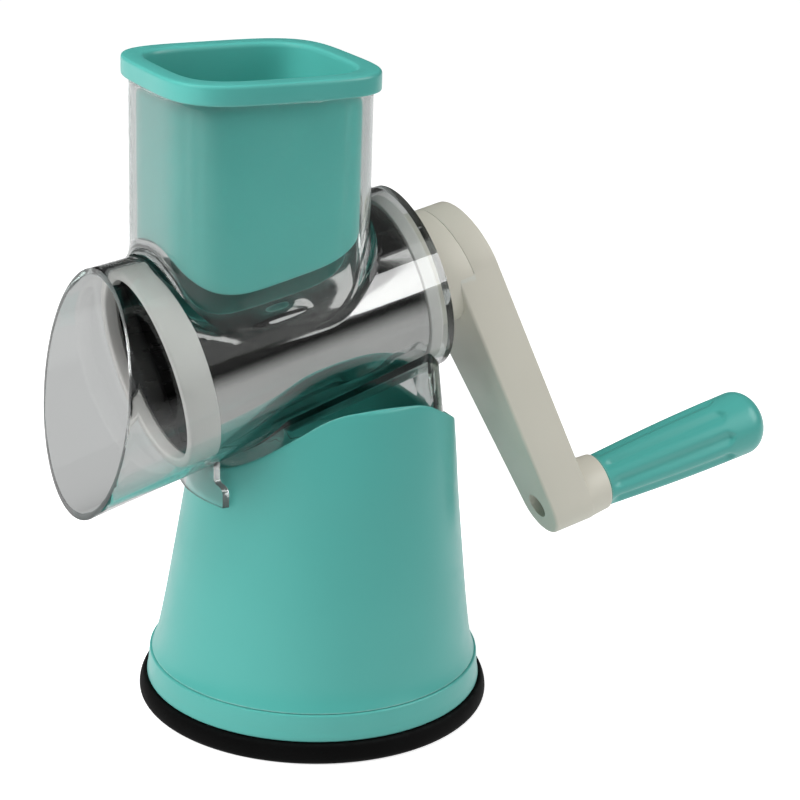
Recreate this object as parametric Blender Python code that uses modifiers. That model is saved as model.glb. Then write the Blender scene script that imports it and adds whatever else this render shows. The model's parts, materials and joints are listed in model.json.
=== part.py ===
# Rotary vegetable grater on a suction base, in metres.
# +X runs level from the spout to the crank, -Y is the front of the base, +Z is up.
# The origin is on the floor at the middle of the suction cup.
import math

import bmesh
import bpy
from mathutils import Matrix

# Fits
GAP = 0.0003
RUNNING = 0.00005
SLIDING_CLEARANCE = 0.0008

# How far a joined solid starts inside its neighbour, and how far a cutter passes a face
BURIED = 0.0010
THROUGH = 0.0020
BEYOND = 0.0100
WIDE = 0.1000

# Barrel axis
AXIS_HEIGHT = 0.1556
TILT = math.radians(13.0)
TURN_STEPS = 48
SMALL_STEPS = 24
TWIST = math.radians(2.6)

# Suction cup
CUP_RADIUS = 0.0680
CUP_RIM_HEIGHT = 0.0079
CUP_FLOOR = 0.0045
CUP_RIM_WIDTH = 0.0040
CUP_RIM_SLOPE = 0.0010
CUP_RIM_EDGE = 0.0018
CUP_SHOULDER = 0.0008
CUP_SHOULDER_DROP = 0.0019
CUP_SIDE_TOP = 0.0035
CUP_SIDE_LOW = 0.0012
CUP_SOLE_EDGE = 0.0015

# Base plate, the low ring under the cone
PLATE_TOP = 0.0184
PLATE_RING_RADIUS = 0.0651
PLATE_RING_DRAFT = 0.0012
PLATE_RING_WALL = 0.0033
PLATE_INNER_DRAFT = 0.0005
WEB_BOTTOM = 0.0110
WEB_THICKNESS = 0.0025
GUIDE_RADIUS = 0.0100
GUIDE_HEIGHT = 0.0220

# Base cone
SHELL_WALL = 0.0026
SHELL_FOOT_RADIUS = 0.0630
FLARE_FOOT_RADIUS = 0.0622
FLARE_FOOT_HEIGHT = 0.0018
FLARE_MIDDLE_RADIUS = 0.0614
FLARE_MIDDLE_HEIGHT = 0.0045
FLARE_RADIUS = 0.0606
FLARE_HEIGHT = 0.0080
HIP_RADIUS = 0.0592
HIP_HEIGHT = 0.0350
SIDE_RADIUS = 0.0577
SIDE_HEIGHT = 0.0450
WAIST_RADIUS = 0.0523
WAIST_HEIGHT = 0.0850
SHOULDER_RADIUS = 0.0505
SHOULDER_HEIGHT = 0.1010
SHELL_MOUTH_RADIUS = 0.0468
SHELL_TOP = 0.1293
SHELL_LEAN = 0.035
DECK_HEIGHT = 0.0900
DECK_THICKNESS = 0.0030
DECK_HOLE_RADIUS = 0.0120
SADDLE_RADIUS = 0.0512
SADDLE_FLARE = 0.096
SADDLE_TILT = math.radians(10.4)

# Base screws
SCREW_CIRCLE = 0.0530
SCREW_COUNT = 4
SCREW_HEAD_RADIUS = 0.0036
SCREW_HEAD_HEIGHT = 0.0023
SCREW_SHANK_RADIUS = 0.0013
SCREW_LENGTH = 0.0190
SCREW_TIP = 0.0015
SCREW_TIP_SHARE = 0.5
SCREW_HEAD_SHARE = 0.7
PILOT_DEPTH = 0.0160
BOSS_RADIUS = 0.0048
BOSS_HEIGHT = 0.0210

# Suction drive
STEM_RADIUS = 0.0060
STEM_FOOT_RADIUS = 0.0140
STEM_FOOT_THICKNESS = 0.0020
YOKE_WIDTH = 0.0160
YOKE_DEPTH = 0.0100
YOKE_TOP = 0.0480
YOKE_RISE = 0.0080
YOKE_ROOT = 0.0020
CAM_HEIGHT = 0.0400
CAM_THROW = 0.0020
CAM_PIN_RADIUS = 0.0025
CAM_PIN_PLAY = 0.0005
CAM_SHAFT_RADIUS = 0.0040
CAM_DISC_RADIUS = 0.0075
CAM_DISC_THICKNESS = 0.0030
CAM_DISC_SPACE = 0.0015
CAM_SQUARE_LENGTH = 0.0052
CAM_HOLE_DEPTH = 0.0090
BRACKET_FRONT = 0.0200
BRACKET_DEPTH = 0.0080
BRACKET_WIDTH = 0.0140
SIDE_BOSS_RADIUS = 0.0090
SIDE_BOSS_ROOT = 0.0520
SIDE_BOSS_REACH = 0.0607
LEVER_HUB_RADIUS = 0.0110
LEVER_HUB_DEPTH = 0.0090
LEVER_SPACE = 0.0004
LEVER_EDGE = 0.0010
LEVER_LENGTH = 0.0360
LEVER_ROOT_RADIUS = 0.0080
LEVER_TIP_RADIUS = 0.0062
LEVER_THICKNESS = 0.0066
LEVER_SQUARE = 0.0056
LEVER_SCREW_HEAD_RADIUS = 0.0037
LEVER_SCREW_HEAD_HEIGHT = 0.0015
LEVER_SCREW_SHANK_RADIUS = 0.0013
LEVER_SCREW_LENGTH = 0.0105
LEVER_SCREW_SINK = 0.0006
SCREW_DOME_SHARE = 0.8

# Clear housing
BARREL_RADIUS = 0.0376
BARREL_TAPER = 0.050
BARREL_WALL = 0.0022
BARREL_FRONT = -0.1200
BARREL_REAR = 0.0370
SPOUT_CUT = -0.0950
SPOUT_SLOPE = 0.39
CHUTE_CENTRE = -0.0294
CHUTE_HALF_LENGTH = 0.0386
CHUTE_HALF_WIDTH = 0.0373
CHUTE_WALL = 0.0024
CHUTE_TOP = 0.2425
CHUTE_ROOT = 0.1500
CHUTE_SQUARENESS = 4.0
CHUTE_POINTS = 40
SKIRT_FOOT_RADIUS = 0.0475
SKIRT_TOP_RADIUS = 0.0403
SKIRT_WALL = 0.0022
SKIRT_TOP = 0.1500
SKIRT_HALF_WIDTH = 0.0310
SKIRT_DIP = 0.0050
LUG_LOW = 0.0903
LUG_RADIUS = 0.0530
LUG_THICKNESS = 0.0024
LUG_HALF_WIDTH = 0.0170
LUG_NOSE = 0.0045
LUG_NOSE_HEIGHT = 0.0074
LUG_NECK = 0.0015
LUG_NEAR = 0.0200
LUG_FAR = 0.0750
BUSH_HOLE_RADIUS = 0.0100
BUSH_FLANGE_RADIUS = 0.0130
BUSH_FLANGE_THICKNESS = 0.0015
BUSH_SET_BACK = 0.0001

# Food pusher
RIM_HALF_LENGTH = 0.0407
RIM_HALF_WIDTH = 0.0406
RIM_HEIGHT = 0.0072
RIM_EDGE = 0.0012
PUSHER_WALL = 0.0022
PUSHER_ARCH_RADIUS = 0.0455
PUSHER_FLOOR = 0.0025

# Drum
RING_FRONT = -0.0705
RING_REAR = -0.0610
RING_FRONT_RADIUS = 0.0378
RING_WALL = 0.0033
RING_CHAMFER = 0.0006
RING_DRAFT = 0.0003
SHELL_FRONT = -0.0660
STEEL_RADIUS = 0.0364
STEEL_WALL = 0.0008
STEEL_REAR = 0.0284
HUB_REAR = 0.0340
HUB_RIM_RADIUS = 0.0327
HUB_WEB = 0.0030
HUB_CHAMFER = 0.0008
HUB_SPIGOT_LENGTH = 0.0060
HUB_SPIGOT_WALL = 0.0022
SOCKET_RADIUS = 0.0110
SOCKET_FRONT = 0.0160
SLOT_COUNT = 6
SLOT_LENGTH = 0.0230
SLOT_WIDTH = 0.0030
SLOT_FRONT = -0.0400
SLOT_STAGGER = 0.0290
SLOT_TURN = math.radians(-56.0)
SLOT_DEPTH = 0.0040
LIP_HEIGHT = 0.0012
LIP_WIDTH = 0.0025

# Crank
SQUARE_DRIVE = 0.0090
JOURNAL_RADIUS = 0.0065
SQUARE_HEAD = 0.0110
SQUARE_HEAD_END = 0.0514
SQUARE_OVERLAP = 0.0002
SHAFT_HOLE_DEPTH = 0.0110
CRANK_ANGLE = math.radians(-9.8)
CRANK_LEAN = math.radians(10.6)
CRANK_LENGTH = 0.1082
CRANK_HEAD_RADIUS = 0.0222
CRANK_END_RADIUS = 0.0125
CRANK_THICKNESS = 0.0180
CRANK_EDGE = 0.0012
ARM_INNER = 0.0467
COLLAR_GAP = 0.0004
COLLAR_REACH = 0.0120
BOSS_END = 0.0948
GRIP_BOSS_RADIUS = 0.0116
CAP_RADIUS = 0.0067
CAP_THICKNESS = 0.0030
CAP_EDGE_SHARE = 0.7
COUNTERBORE_FLOOR = 0.0576
HUB_SCREW_HEAD_RADIUS = 0.0052
HUB_SCREW_HEAD_HEIGHT = 0.0034
HUB_SCREW_SHANK_RADIUS = 0.0020
HUB_SCREW_LENGTH = 0.0140
SPINDLE_RADIUS = 0.0030
SPINDLE_HEAD_RADIUS = 0.0048
SPINDLE_HEAD_HEIGHT = 0.0024
SPINDLE_LENGTH = 0.0840
SPINDLE_SEAT = 0.0062
SPINDLE_TIP = 0.0006
GRIP_LENGTH = 0.0780
GRIP_NECK_RADIUS = 0.0107
GRIP_BODY_RADIUS = 0.0133
GRIP_BORE_END = 0.0140
GRIP_DOME = 0.0100
GRIP_DOME_STEPS = 6
GRIP_SHOULDER = 0.60
GRIP_SHOULDER_SWELL = 0.88
GRIP_WAIST = 0.35
GRIP_WAIST_SWELL = 0.60


def start():
    for item in list(bpy.data.objects):
        bpy.data.objects.remove(item, do_unlink=True)
    for group in list(bpy.data.collections):
        bpy.data.collections.remove(group)


def collection(name):
    group = bpy.data.collections.new(name)
    bpy.context.scene.collection.children.link(group)
    return group


start()
PARTS = collection("rotary_vegetable_grater")
CUTTERS = collection("cutters")


def material(name, colour, roughness, metallic=0.0, alpha=1.0, transmission=0.0):
    made = bpy.data.materials.new(name)
    made.use_nodes = True
    shader = made.node_tree.nodes["Principled BSDF"]
    shader.inputs["Base Color"].default_value = (*colour, 1.0)
    shader.inputs["Roughness"].default_value = roughness
    shader.inputs["Metallic"].default_value = metallic
    shader.inputs["Alpha"].default_value = alpha
    shader.inputs["Transmission Weight"].default_value = transmission
    made.diffuse_color = (*colour, alpha)
    return made


def put(item, group, parent, location, rotation, finish):
    group.objects.link(item)
    item.parent = parent
    item.location = location
    item.rotation_euler = rotation
    if group is CUTTERS:
        item.hide_render = True
        item.display_type = "WIRE"
    if finish:
        item.data.materials.append(finish)
    return item


def frame(name, parent, location, rotation):
    item = bpy.data.objects.new(name, None)
    item.empty_display_size = 0.02
    return put(item, PARTS, parent, location, rotation, None)


def smooth(item, angle=35):
    item.data.shade_smooth()
    item.data.set_sharp_from_angle(angle=math.radians(angle))


def turned(name, profile, group=None, parent=None, location=(0, 0, 0), rotation=(0, 0, 0),
           steps=TURN_STEPS, finish=None):
    """A profile of (radius, height) points, outer side listed from top to bottom."""
    open_ends = profile[0][0] == 0 and profile[-1][0] == 0
    count = len(profile)
    edges = [(i, i + 1) for i in range(count - 1)]
    if not open_ends:
        edges.append((count - 1, 0))
    mesh = bpy.data.meshes.new(name)
    mesh.from_pydata([(radius, 0, height) for radius, height in profile], edges, [])
    item = bpy.data.objects.new(name, mesh)
    put(item, group or CUTTERS, parent, location, rotation, finish)
    turn = item.modifiers.new("turn", "SCREW")
    turn.angle = 2 * math.pi
    turn.steps = steps
    turn.render_steps = steps
    turn.use_merge_vertices = True
    turn.merge_threshold = 0.00001
    turn.use_smooth_shade = True
    return item


def cylinder(name, radius, low, high, steps=SMALL_STEPS, **where):
    profile = [(0, high), (radius, high), (radius, low), (0, low)]
    return turned(name, profile, steps=steps, **where)


def stepped(name, narrow, wide, low, seat, high, steps=SMALL_STEPS, **where):
    """A hole of two radii: narrow from low to seat, wide from seat to high."""
    profile = [(0, high), (wide, high), (wide, seat), (narrow, seat), (narrow, low), (0, low)]
    return turned(name, profile, steps=steps, **where)


def box(name, low, high, group=None, parent=None, location=(0, 0, 0), rotation=(0, 0, 0), finish=None):
    mesh = bpy.data.meshes.new(name)
    shape = bmesh.new()
    bmesh.ops.create_cube(shape, size=1.0)
    size = [b - a for a, b in zip(low, high)]
    middle = [(a + b) / 2 for a, b in zip(low, high)]
    bmesh.ops.scale(shape, vec=size, verts=shape.verts)
    bmesh.ops.translate(shape, vec=middle, verts=shape.verts)
    shape.to_mesh(mesh)
    shape.free()
    item = bpy.data.objects.new(name, mesh)
    return put(item, group or CUTTERS, parent, location, rotation, finish)


def frozen(item, weld=0.0):
    """The evaluated shape as a plain mesh in place of the item."""
    bpy.context.view_layer.update()
    seen = item.evaluated_get(bpy.context.evaluated_depsgraph_get())
    mesh = bpy.data.meshes.new_from_object(seen)
    if weld:
        shape = bmesh.new()
        shape.from_mesh(mesh)
        bmesh.ops.remove_doubles(shape, verts=shape.verts, dist=weld)
        bmesh.ops.dissolve_limit(shape, angle_limit=math.radians(0.5), verts=shape.verts, edges=shape.edges)
        shape.to_mesh(mesh)
        shape.free()
    name = item.name
    group = item.users_collection[0]
    parent, location, rotation = item.parent, item.location.copy(), item.rotation_euler.copy()
    bpy.data.objects.remove(item, do_unlink=True)
    plain = bpy.data.objects.new(name, mesh)
    mesh.name = name
    return put(plain, group, parent, location, rotation, None)


def slab(name, outline, low, high, group=None, parent=None, location=(0, 0, 0), rotation=(0, 0, 0),
         finish=None, edge=0.0):
    """A flat outline in the local XY plane, filled from low to high along local Z."""
    curve = bpy.data.curves.new(name, "CURVE")
    curve.dimensions = "2D"
    curve.fill_mode = "BOTH"
    curve.extrude = (high - low) / 2
    line = curve.splines.new("POLY")
    line.points.add(len(outline) - 1)
    for point, (x, y) in zip(line.points, outline):
        point.co = (x, y, 0, 1)
    line.use_cyclic_u = True
    item = bpy.data.objects.new(name, curve)
    put(item, group or CUTTERS, parent, location, rotation, None)
    item = frozen(item, weld=0.00001)
    item.data.transform(Matrix.Translation((0, 0, (low + high) / 2)))
    if finish:
        item.data.materials.clear()
        item.data.materials.append(finish)
    if edge:
        soft = item.modifiers.new("edge", "BEVEL")
        soft.width = edge
        soft.segments = 2
        soft.limit_method = "ANGLE"
        soft.angle_limit = math.radians(50)
    return item


def join(item, tool):
    step = item.modifiers.new("join", "BOOLEAN")
    step.operation = "UNION"
    step.object = tool
    step.solver = "EXACT"
    return item


def cut(item, *tools):
    for tool in tools:
        step = item.modifiers.new("cut", "BOOLEAN")
        step.operation = "DIFFERENCE"
        step.object = tool
        step.solver = "EXACT"
    return item


def keep(item, tool):
    step = item.modifiers.new("keep", "BOOLEAN")
    step.operation = "INTERSECT"
    step.object = tool
    step.solver = "EXACT"
    return item


def rounded_square(half_length, half_width, squareness=CHUTE_SQUARENESS, count=CHUTE_POINTS):
    """A square outline whose sides bulge a little."""
    outline = []
    for i in range(count):
        angle = 2 * math.pi * i / count
        c, s = math.cos(angle), math.sin(angle)
        x = math.copysign(abs(c) ** (2 / squareness), c) * half_length
        y = math.copysign(abs(s) ** (2 / squareness), s) * half_width
        outline.append((x, y))
    return outline


def tapered_bar(root_radius, tip_radius, length, count=18):
    """Two round ends joined by their common tangents, along local X."""
    lean = math.asin((root_radius - tip_radius) / length)
    outline = []
    for i in range(count + 1):
        angle = math.pi / 2 - lean + (math.pi + 2 * lean) * i / count
        outline.append((root_radius * math.cos(angle), root_radius * math.sin(angle)))
    for i in range(count + 1):
        angle = -math.pi / 2 + lean + (math.pi - 2 * lean) * i / count
        outline.append((length + tip_radius * math.cos(angle), tip_radius * math.sin(angle)))
    return outline


# Finishes
RUBBER = material("black_rubber", (0.008, 0.008, 0.008), 0.65)
TURQUOISE = material("turquoise_plastic", (0.16, 0.58, 0.49), 0.32)
WHITE = material("white_plastic", (0.72, 0.72, 0.69), 0.38)
STONE = material("stone_plastic", (0.50, 0.49, 0.42), 0.42)
CLEAR = material("clear_plastic", (0.90, 0.93, 0.93), 0.06, alpha=0.3, transmission=0.9)
STEEL = material("polished_steel", (0.62, 0.62, 0.61), 0.12, metallic=1.0)
ZINC = material("plated_steel", (0.55, 0.55, 0.55), 0.30, metallic=1.0)
NYLON = material("grey_nylon", (0.30, 0.31, 0.31), 0.50)

HEAD = frame("head_axis", None, (0, 0, AXIS_HEIGHT), (0, math.pi / 2 - TILT, 0))
CRANK = frame("crank_axis", HEAD, (0, 0, 0), (0, 0, CRANK_ANGLE))
REACH = CRANK_LENGTH * math.cos(CRANK_LEAN)
GRIP = frame("grip_axis", CRANK, (REACH, 0, 0), (0, 0, 0))
LEVER = frame("lever_axis", None, (0, 0, CAM_HEIGHT), (-math.pi / 2, 0, 0))

# Suction cup with a flat sole and a raised rim
rim_outer = CUP_RADIUS - CUP_RIM_EDGE
rim_inner = rim_outer - CUP_RIM_WIDTH
turned("suction_cup", [
    (0, CUP_FLOOR),
    (rim_inner - CUP_RIM_SLOPE, CUP_FLOOR),
    (rim_inner, CUP_RIM_HEIGHT),
    (rim_outer, CUP_RIM_HEIGHT),
    (CUP_RADIUS - CUP_SHOULDER, CUP_RIM_HEIGHT - CUP_SHOULDER_DROP),
    (CUP_RADIUS, CUP_SIDE_TOP),
    (CUP_RADIUS, CUP_SIDE_LOW),
    (CUP_RADIUS - CUP_SOLE_EDGE, 0),
    (0, 0),
], group=PARTS, finish=RUBBER)

# Base plate: the low turquoise ring, its web, the stem guide and the shaft bracket
plate_low = CUP_RIM_HEIGHT + GAP
web_top = WEB_BOTTOM + WEB_THICKNESS
ring_top_radius = PLATE_RING_RADIUS - PLATE_RING_DRAFT
ring_inner = PLATE_RING_RADIUS - PLATE_RING_WALL
guide_bore = STEM_RADIUS + RUNNING
base_plate = turned("base_plate", [
    (ring_top_radius, PLATE_TOP),
    (PLATE_RING_RADIUS - PLATE_RING_DRAFT / 2, WEB_BOTTOM),
    (PLATE_RING_RADIUS, plate_low),
    (ring_inner, plate_low),
    (ring_inner - PLATE_INNER_DRAFT, WEB_BOTTOM),
    (guide_bore, WEB_BOTTOM),
    (guide_bore, GUIDE_HEIGHT),
    (GUIDE_RADIUS, GUIDE_HEIGHT),
    (GUIDE_RADIUS, web_top),
    (ring_top_radius - PLATE_RING_WALL, web_top),
    (ring_top_radius - PLATE_RING_WALL, PLATE_TOP),
], group=PARTS, finish=TURQUOISE)
bracket_back = BRACKET_FRONT + BRACKET_DEPTH
bracket = box("bracket_block", (-BRACKET_WIDTH / 2, BRACKET_FRONT, web_top - BURIED),
              (BRACKET_WIDTH / 2, bracket_back, CAM_HEIGHT + BRACKET_WIDTH / 2))
shaft_bore = CAM_SHAFT_RADIUS + RUNNING
join(base_plate, bracket)
cut(base_plate, cylinder("bracket_bore", shaft_bore, BRACKET_FRONT - THROUGH, bracket_back + THROUGH,
                         parent=LEVER))

# Base cone, sheared a little towards the crank, with a deck inside its mouth
shell_low = PLATE_TOP + GAP
outer = [
    (SHELL_MOUTH_RADIUS, SHELL_TOP),
    (SHOULDER_RADIUS, SHOULDER_HEIGHT),
    (WAIST_RADIUS, WAIST_HEIGHT),
    (SIDE_RADIUS, SIDE_HEIGHT),
    (HIP_RADIUS, HIP_HEIGHT),
    (FLARE_RADIUS, shell_low + FLARE_HEIGHT),
    (FLARE_MIDDLE_RADIUS, shell_low + FLARE_MIDDLE_HEIGHT),
    (FLARE_FOOT_RADIUS, shell_low + FLARE_FOOT_HEIGHT),
    (SHELL_FOOT_RADIUS, shell_low),
]


def outer_radius(height):
    for (r1, z1), (r2, z2) in zip(outer, outer[1:]):
        if z1 >= height >= z2:
            return r1 + (r2 - r1) * (z1 - height) / (z1 - z2)
    return outer[-1][0]


deck_top = DECK_HEIGHT + DECK_THICKNESS
inner_low = [(r - SHELL_WALL, z) for r, z in reversed(outer) if z < DECK_HEIGHT]
inner_high = [(r - SHELL_WALL, z) for r, z in reversed(outer) if z > deck_top]
profile = list(outer)
profile += inner_low
profile += [
    (outer_radius(DECK_HEIGHT) - SHELL_WALL, DECK_HEIGHT),
    (DECK_HOLE_RADIUS, DECK_HEIGHT),
    (DECK_HOLE_RADIUS, deck_top),
    (outer_radius(deck_top) - SHELL_WALL, deck_top),
]
profile += inner_high
base_shell = frozen(turned("base_shell", profile, group=PARTS, finish=TURQUOISE))
shear = Matrix.Identity(4)
shear[0][2] = SHELL_LEAN
shear[0][3] = -SHELL_LEAN * shell_low
base_shell.data.transform(shear)
smooth(base_shell)
saddle_reach = 2 * SHELL_FOOT_RADIUS
saddle_low = SADDLE_RADIUS - SADDLE_FLARE * saddle_reach
saddle_high = SADDLE_RADIUS + SADDLE_FLARE * saddle_reach
saddle = turned("saddle", [
    (0, saddle_reach),
    (saddle_high, saddle_reach),
    (saddle_low, -saddle_reach),
    (0, -saddle_reach),
], location=(0, 0, AXIS_HEIGHT), rotation=(0, math.pi / 2 - SADDLE_TILT, 0))
cut(base_shell, saddle)

screw_angles = [math.pi / 4 + 2 * math.pi * i / SCREW_COUNT for i in range(SCREW_COUNT)]
for angle in screw_angles:
    spot = (SCREW_CIRCLE * math.cos(angle), SCREW_CIRCLE * math.sin(angle), 0)
    join(base_shell, cylinder("screw_boss", BOSS_RADIUS, shell_low, shell_low + BOSS_HEIGHT, 20, location=spot))
for angle in screw_angles:
    spot = (SCREW_CIRCLE * math.cos(angle), SCREW_CIRCLE * math.sin(angle), 0)
    hole_radius = SCREW_SHANK_RADIUS + GAP
    cut(base_shell, cylinder("pilot_hole", hole_radius, shell_low - THROUGH, shell_low + PILOT_DEPTH, 12,
                             location=spot))
    cut(base_plate, cylinder("screw_hole", hole_radius, WEB_BOTTOM - THROUGH, web_top + THROUGH, 12,
                             location=spot))
side_boss = cylinder("side_boss", SIDE_BOSS_RADIUS, SIDE_BOSS_ROOT, SIDE_BOSS_REACH, parent=LEVER)
join(base_shell, side_boss)
cut(base_shell, cylinder("side_bore", shaft_bore, SIDE_BOSS_ROOT - THROUGH, SIDE_BOSS_REACH + THROUGH,
                         parent=LEVER))

# Screws that hold the plate to the cone from below
for i, angle in enumerate(screw_angles):
    spot = (SCREW_CIRCLE * math.cos(angle), SCREW_CIRCLE * math.sin(angle), 0)
    head_top = WEB_BOTTOM - GAP
    turned("plate_screw_%d" % (i + 1), [
        (0, head_top + SCREW_LENGTH),
        (SCREW_SHANK_RADIUS * SCREW_TIP_SHARE, head_top + SCREW_LENGTH),
        (SCREW_SHANK_RADIUS, head_top + SCREW_LENGTH - SCREW_TIP),
        (SCREW_SHANK_RADIUS, head_top),
        (SCREW_HEAD_RADIUS, head_top),
        (SCREW_HEAD_RADIUS * SCREW_HEAD_SHARE, head_top - SCREW_HEAD_HEIGHT),
        (0, head_top - SCREW_HEAD_HEIGHT),
    ], group=PARTS, location=spot, steps=20, finish=ZINC)

# Pull stem with a slotted yoke that the cam pin lifts
stem_low = CUP_FLOOR + GAP
foot_top = stem_low + STEM_FOOT_THICKNESS
yoke_low = GUIDE_HEIGHT + YOKE_RISE
pull_stem = turned("pull_stem", [
    (0, yoke_low + YOKE_ROOT),
    (STEM_RADIUS, yoke_low + YOKE_ROOT),
    (STEM_RADIUS, foot_top),
    (STEM_FOOT_RADIUS, foot_top),
    (STEM_FOOT_RADIUS, stem_low),
    (0, stem_low),
], group=PARTS, steps=SMALL_STEPS, finish=NYLON)
join(pull_stem, box("yoke_block", (-YOKE_WIDTH / 2, -YOKE_DEPTH / 2, yoke_low),
                    (YOKE_WIDTH / 2, YOKE_DEPTH / 2, YOKE_TOP)))
pin_offset = CAM_THROW * math.sin(math.pi / 4)
pin_low = CAM_HEIGHT - pin_offset
slot_half = CAM_PIN_RADIUS + CAM_PIN_PLAY
cut(pull_stem, box("yoke_slot", (-CAM_PIN_RADIUS, -YOKE_DEPTH, pin_low - slot_half),
                   (CAM_THROW + slot_half, YOKE_DEPTH, pin_low + slot_half)))

# Cam shaft: crank pin, disc, round shaft and a square end
disc_front = YOKE_DEPTH / 2 + CAM_DISC_SPACE
disc_back = disc_front + CAM_DISC_THICKNESS
square_start = SIDE_BOSS_REACH + GAP
square_end = square_start + CAM_SQUARE_LENGTH
cam_shaft = turned("cam_shaft", [
    (0, square_start),
    (CAM_SHAFT_RADIUS, square_start),
    (CAM_SHAFT_RADIUS, disc_back),
    (CAM_DISC_RADIUS, disc_back),
    (CAM_DISC_RADIUS, disc_front),
    (0, disc_front),
], group=PARTS, parent=LEVER, steps=SMALL_STEPS, finish=ZINC)
join(cam_shaft, cylinder("cam_pin", CAM_PIN_RADIUS, -disc_front, disc_front + BURIED, 20, parent=LEVER,
                         location=(pin_offset, pin_offset, 0)))
half = LEVER_SQUARE / 2
join(cam_shaft, box("square_end", (-half, -half, square_start - BURIED), (half, half, square_end),
                    parent=LEVER))
screw_hole = LEVER_SCREW_SHANK_RADIUS + GAP
cut(cam_shaft, cylinder("shaft_screw_hole", screw_hole, square_end - CAM_HOLE_DEPTH, square_end + THROUGH, 12,
                        parent=LEVER))

# Suction lever on the square end, pointing up at rest
hub_low = SIDE_BOSS_REACH + LEVER_SPACE
hub_high = hub_low + LEVER_HUB_DEPTH
suction_lever = turned("suction_lever", [
    (0, hub_high),
    (LEVER_HUB_RADIUS - LEVER_EDGE, hub_high),
    (LEVER_HUB_RADIUS, hub_high - LEVER_EDGE),
    (LEVER_HUB_RADIUS, hub_low),
    (0, hub_low),
], group=PARTS, parent=LEVER, steps=36, finish=TURQUOISE)
blade_low = hub_low + BURIED
lever_blade = slab("lever_blade", tapered_bar(LEVER_ROOT_RADIUS, LEVER_TIP_RADIUS, LEVER_LENGTH, 10),
                   blade_low, blade_low + LEVER_THICKNESS, parent=LEVER, rotation=(0, 0, -math.pi / 2),
                   edge=LEVER_EDGE)
join(suction_lever, lever_blade)
half = LEVER_SQUARE / 2 + GAP
cut(suction_lever,
    box("lever_square", (-half, -half, hub_low - THROUGH), (half, half, square_end + GAP), parent=LEVER),
    stepped("lever_screw_hole", screw_hole, LEVER_SCREW_HEAD_RADIUS + GAP, square_end - BURIED,
            hub_high - LEVER_SCREW_HEAD_HEIGHT - LEVER_SCREW_SINK, hub_high + THROUGH, parent=LEVER))
screw_top = hub_high - GAP
screw_seat = screw_top - LEVER_SCREW_HEAD_HEIGHT
turned("lever_screw", [
    (0, screw_top),
    (LEVER_SCREW_HEAD_RADIUS * SCREW_DOME_SHARE, screw_top),
    (LEVER_SCREW_HEAD_RADIUS, screw_seat),
    (LEVER_SCREW_SHANK_RADIUS, screw_seat),
    (LEVER_SCREW_SHANK_RADIUS, screw_top - LEVER_SCREW_LENGTH),
    (0, screw_top - LEVER_SCREW_LENGTH),
], group=PARTS, parent=LEVER, steps=20, finish=ZINC)


# Clear housing: tapered barrel, upright chute, skirt and front lug in one moulding
def barrel(name, low, high, inset, **where):
    """A solid of the barrel's taper, made smaller by inset."""
    return turned(name, [
        (0, high),
        (BARREL_RADIUS - BARREL_TAPER * high - inset, high),
        (BARREL_RADIUS - BARREL_TAPER * low - inset, low),
        (0, low),
    ], parent=HEAD, **where)


skirt_low = deck_top + GAP
lug_shift = SHELL_LEAN * (skirt_low - shell_low)
skirt_shift = SHELL_LEAN * ((skirt_low + SHELL_TOP) / 2 - shell_low)
inside_end = BARREL_REAR - BARREL_WALL


def skirt_solid(name, inset, low, high):
    """A cone with two flat sides, made smaller by inset."""
    narrowing = (SKIRT_FOOT_RADIUS - SKIRT_TOP_RADIUS) / (SKIRT_TOP - skirt_low)
    solid = turned(name, [
        (0, high),
        (SKIRT_FOOT_RADIUS - narrowing * (high - skirt_low) - inset, high),
        (SKIRT_FOOT_RADIUS - narrowing * (low - skirt_low) - inset, low),
        (0, low),
    ], location=(skirt_shift, 0, 0), rotation=(0, 0, TWIST))
    half_width = SKIRT_HALF_WIDTH - inset
    sides = box(name + "_sides", (-WIDE, -half_width, low - BEYOND), (WIDE, half_width, high + BEYOND))
    return keep(solid, sides)


lug_top = SHELL_TOP
lug = turned("lug", [
    (LUG_RADIUS + LUG_THICKNESS, lug_top),
    (LUG_RADIUS + LUG_THICKNESS, LUG_LOW),
    (LUG_RADIUS, LUG_LOW),
    (LUG_RADIUS, lug_top),
], location=(lug_shift, 0, 0), rotation=(0, 0, TWIST))
nose_width = LUG_HALF_WIDTH + LUG_NOSE
nose_top = LUG_LOW + LUG_NOSE_HEIGHT
neck_low = nose_top + LUG_NECK
keep(lug, slab("lug_outline", [
    (LUG_LOW - THROUGH, -nose_width),
    (nose_top, -nose_width),
    (neck_low, -LUG_HALF_WIDTH),
    (lug_top + THROUGH, -LUG_HALF_WIDTH),
    (lug_top + THROUGH, LUG_HALF_WIDTH),
    (neck_low, LUG_HALF_WIDTH),
    (nose_top, nose_width),
    (LUG_LOW - THROUGH, nose_width),
], LUG_NEAR, LUG_FAR, rotation=(0, -math.pi / 2, 0)))

clear_housing = barrel("clear_housing", BARREL_FRONT, BARREL_REAR, 0, group=PARTS, finish=CLEAR)
chute_at = (CHUTE_CENTRE, 0, 0)
cut(clear_housing, box("spout_cut", (-WIDE, -WIDE, -WIDE), (WIDE, WIDE, 0), parent=HEAD,
                       location=(0, 0, SPOUT_CUT), rotation=(0, math.atan(SPOUT_SLOPE), 0)))
join(clear_housing, slab("chute_outside", rounded_square(CHUTE_HALF_LENGTH, CHUTE_HALF_WIDTH),
                         CHUTE_ROOT, CHUTE_TOP, location=chute_at))
skirt = skirt_solid("skirt", 0, skirt_low, SKIRT_TOP)
cut(skirt, box("skirt_rear", (-WIDE, -WIDE, BARREL_REAR - GAP), (WIDE, WIDE, WIDE), parent=HEAD))
join(clear_housing, skirt)
join(clear_housing, lug)
chute_in_length = CHUTE_HALF_LENGTH - CHUTE_WALL
chute_in_width = CHUTE_HALF_WIDTH - CHUTE_WALL
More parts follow.
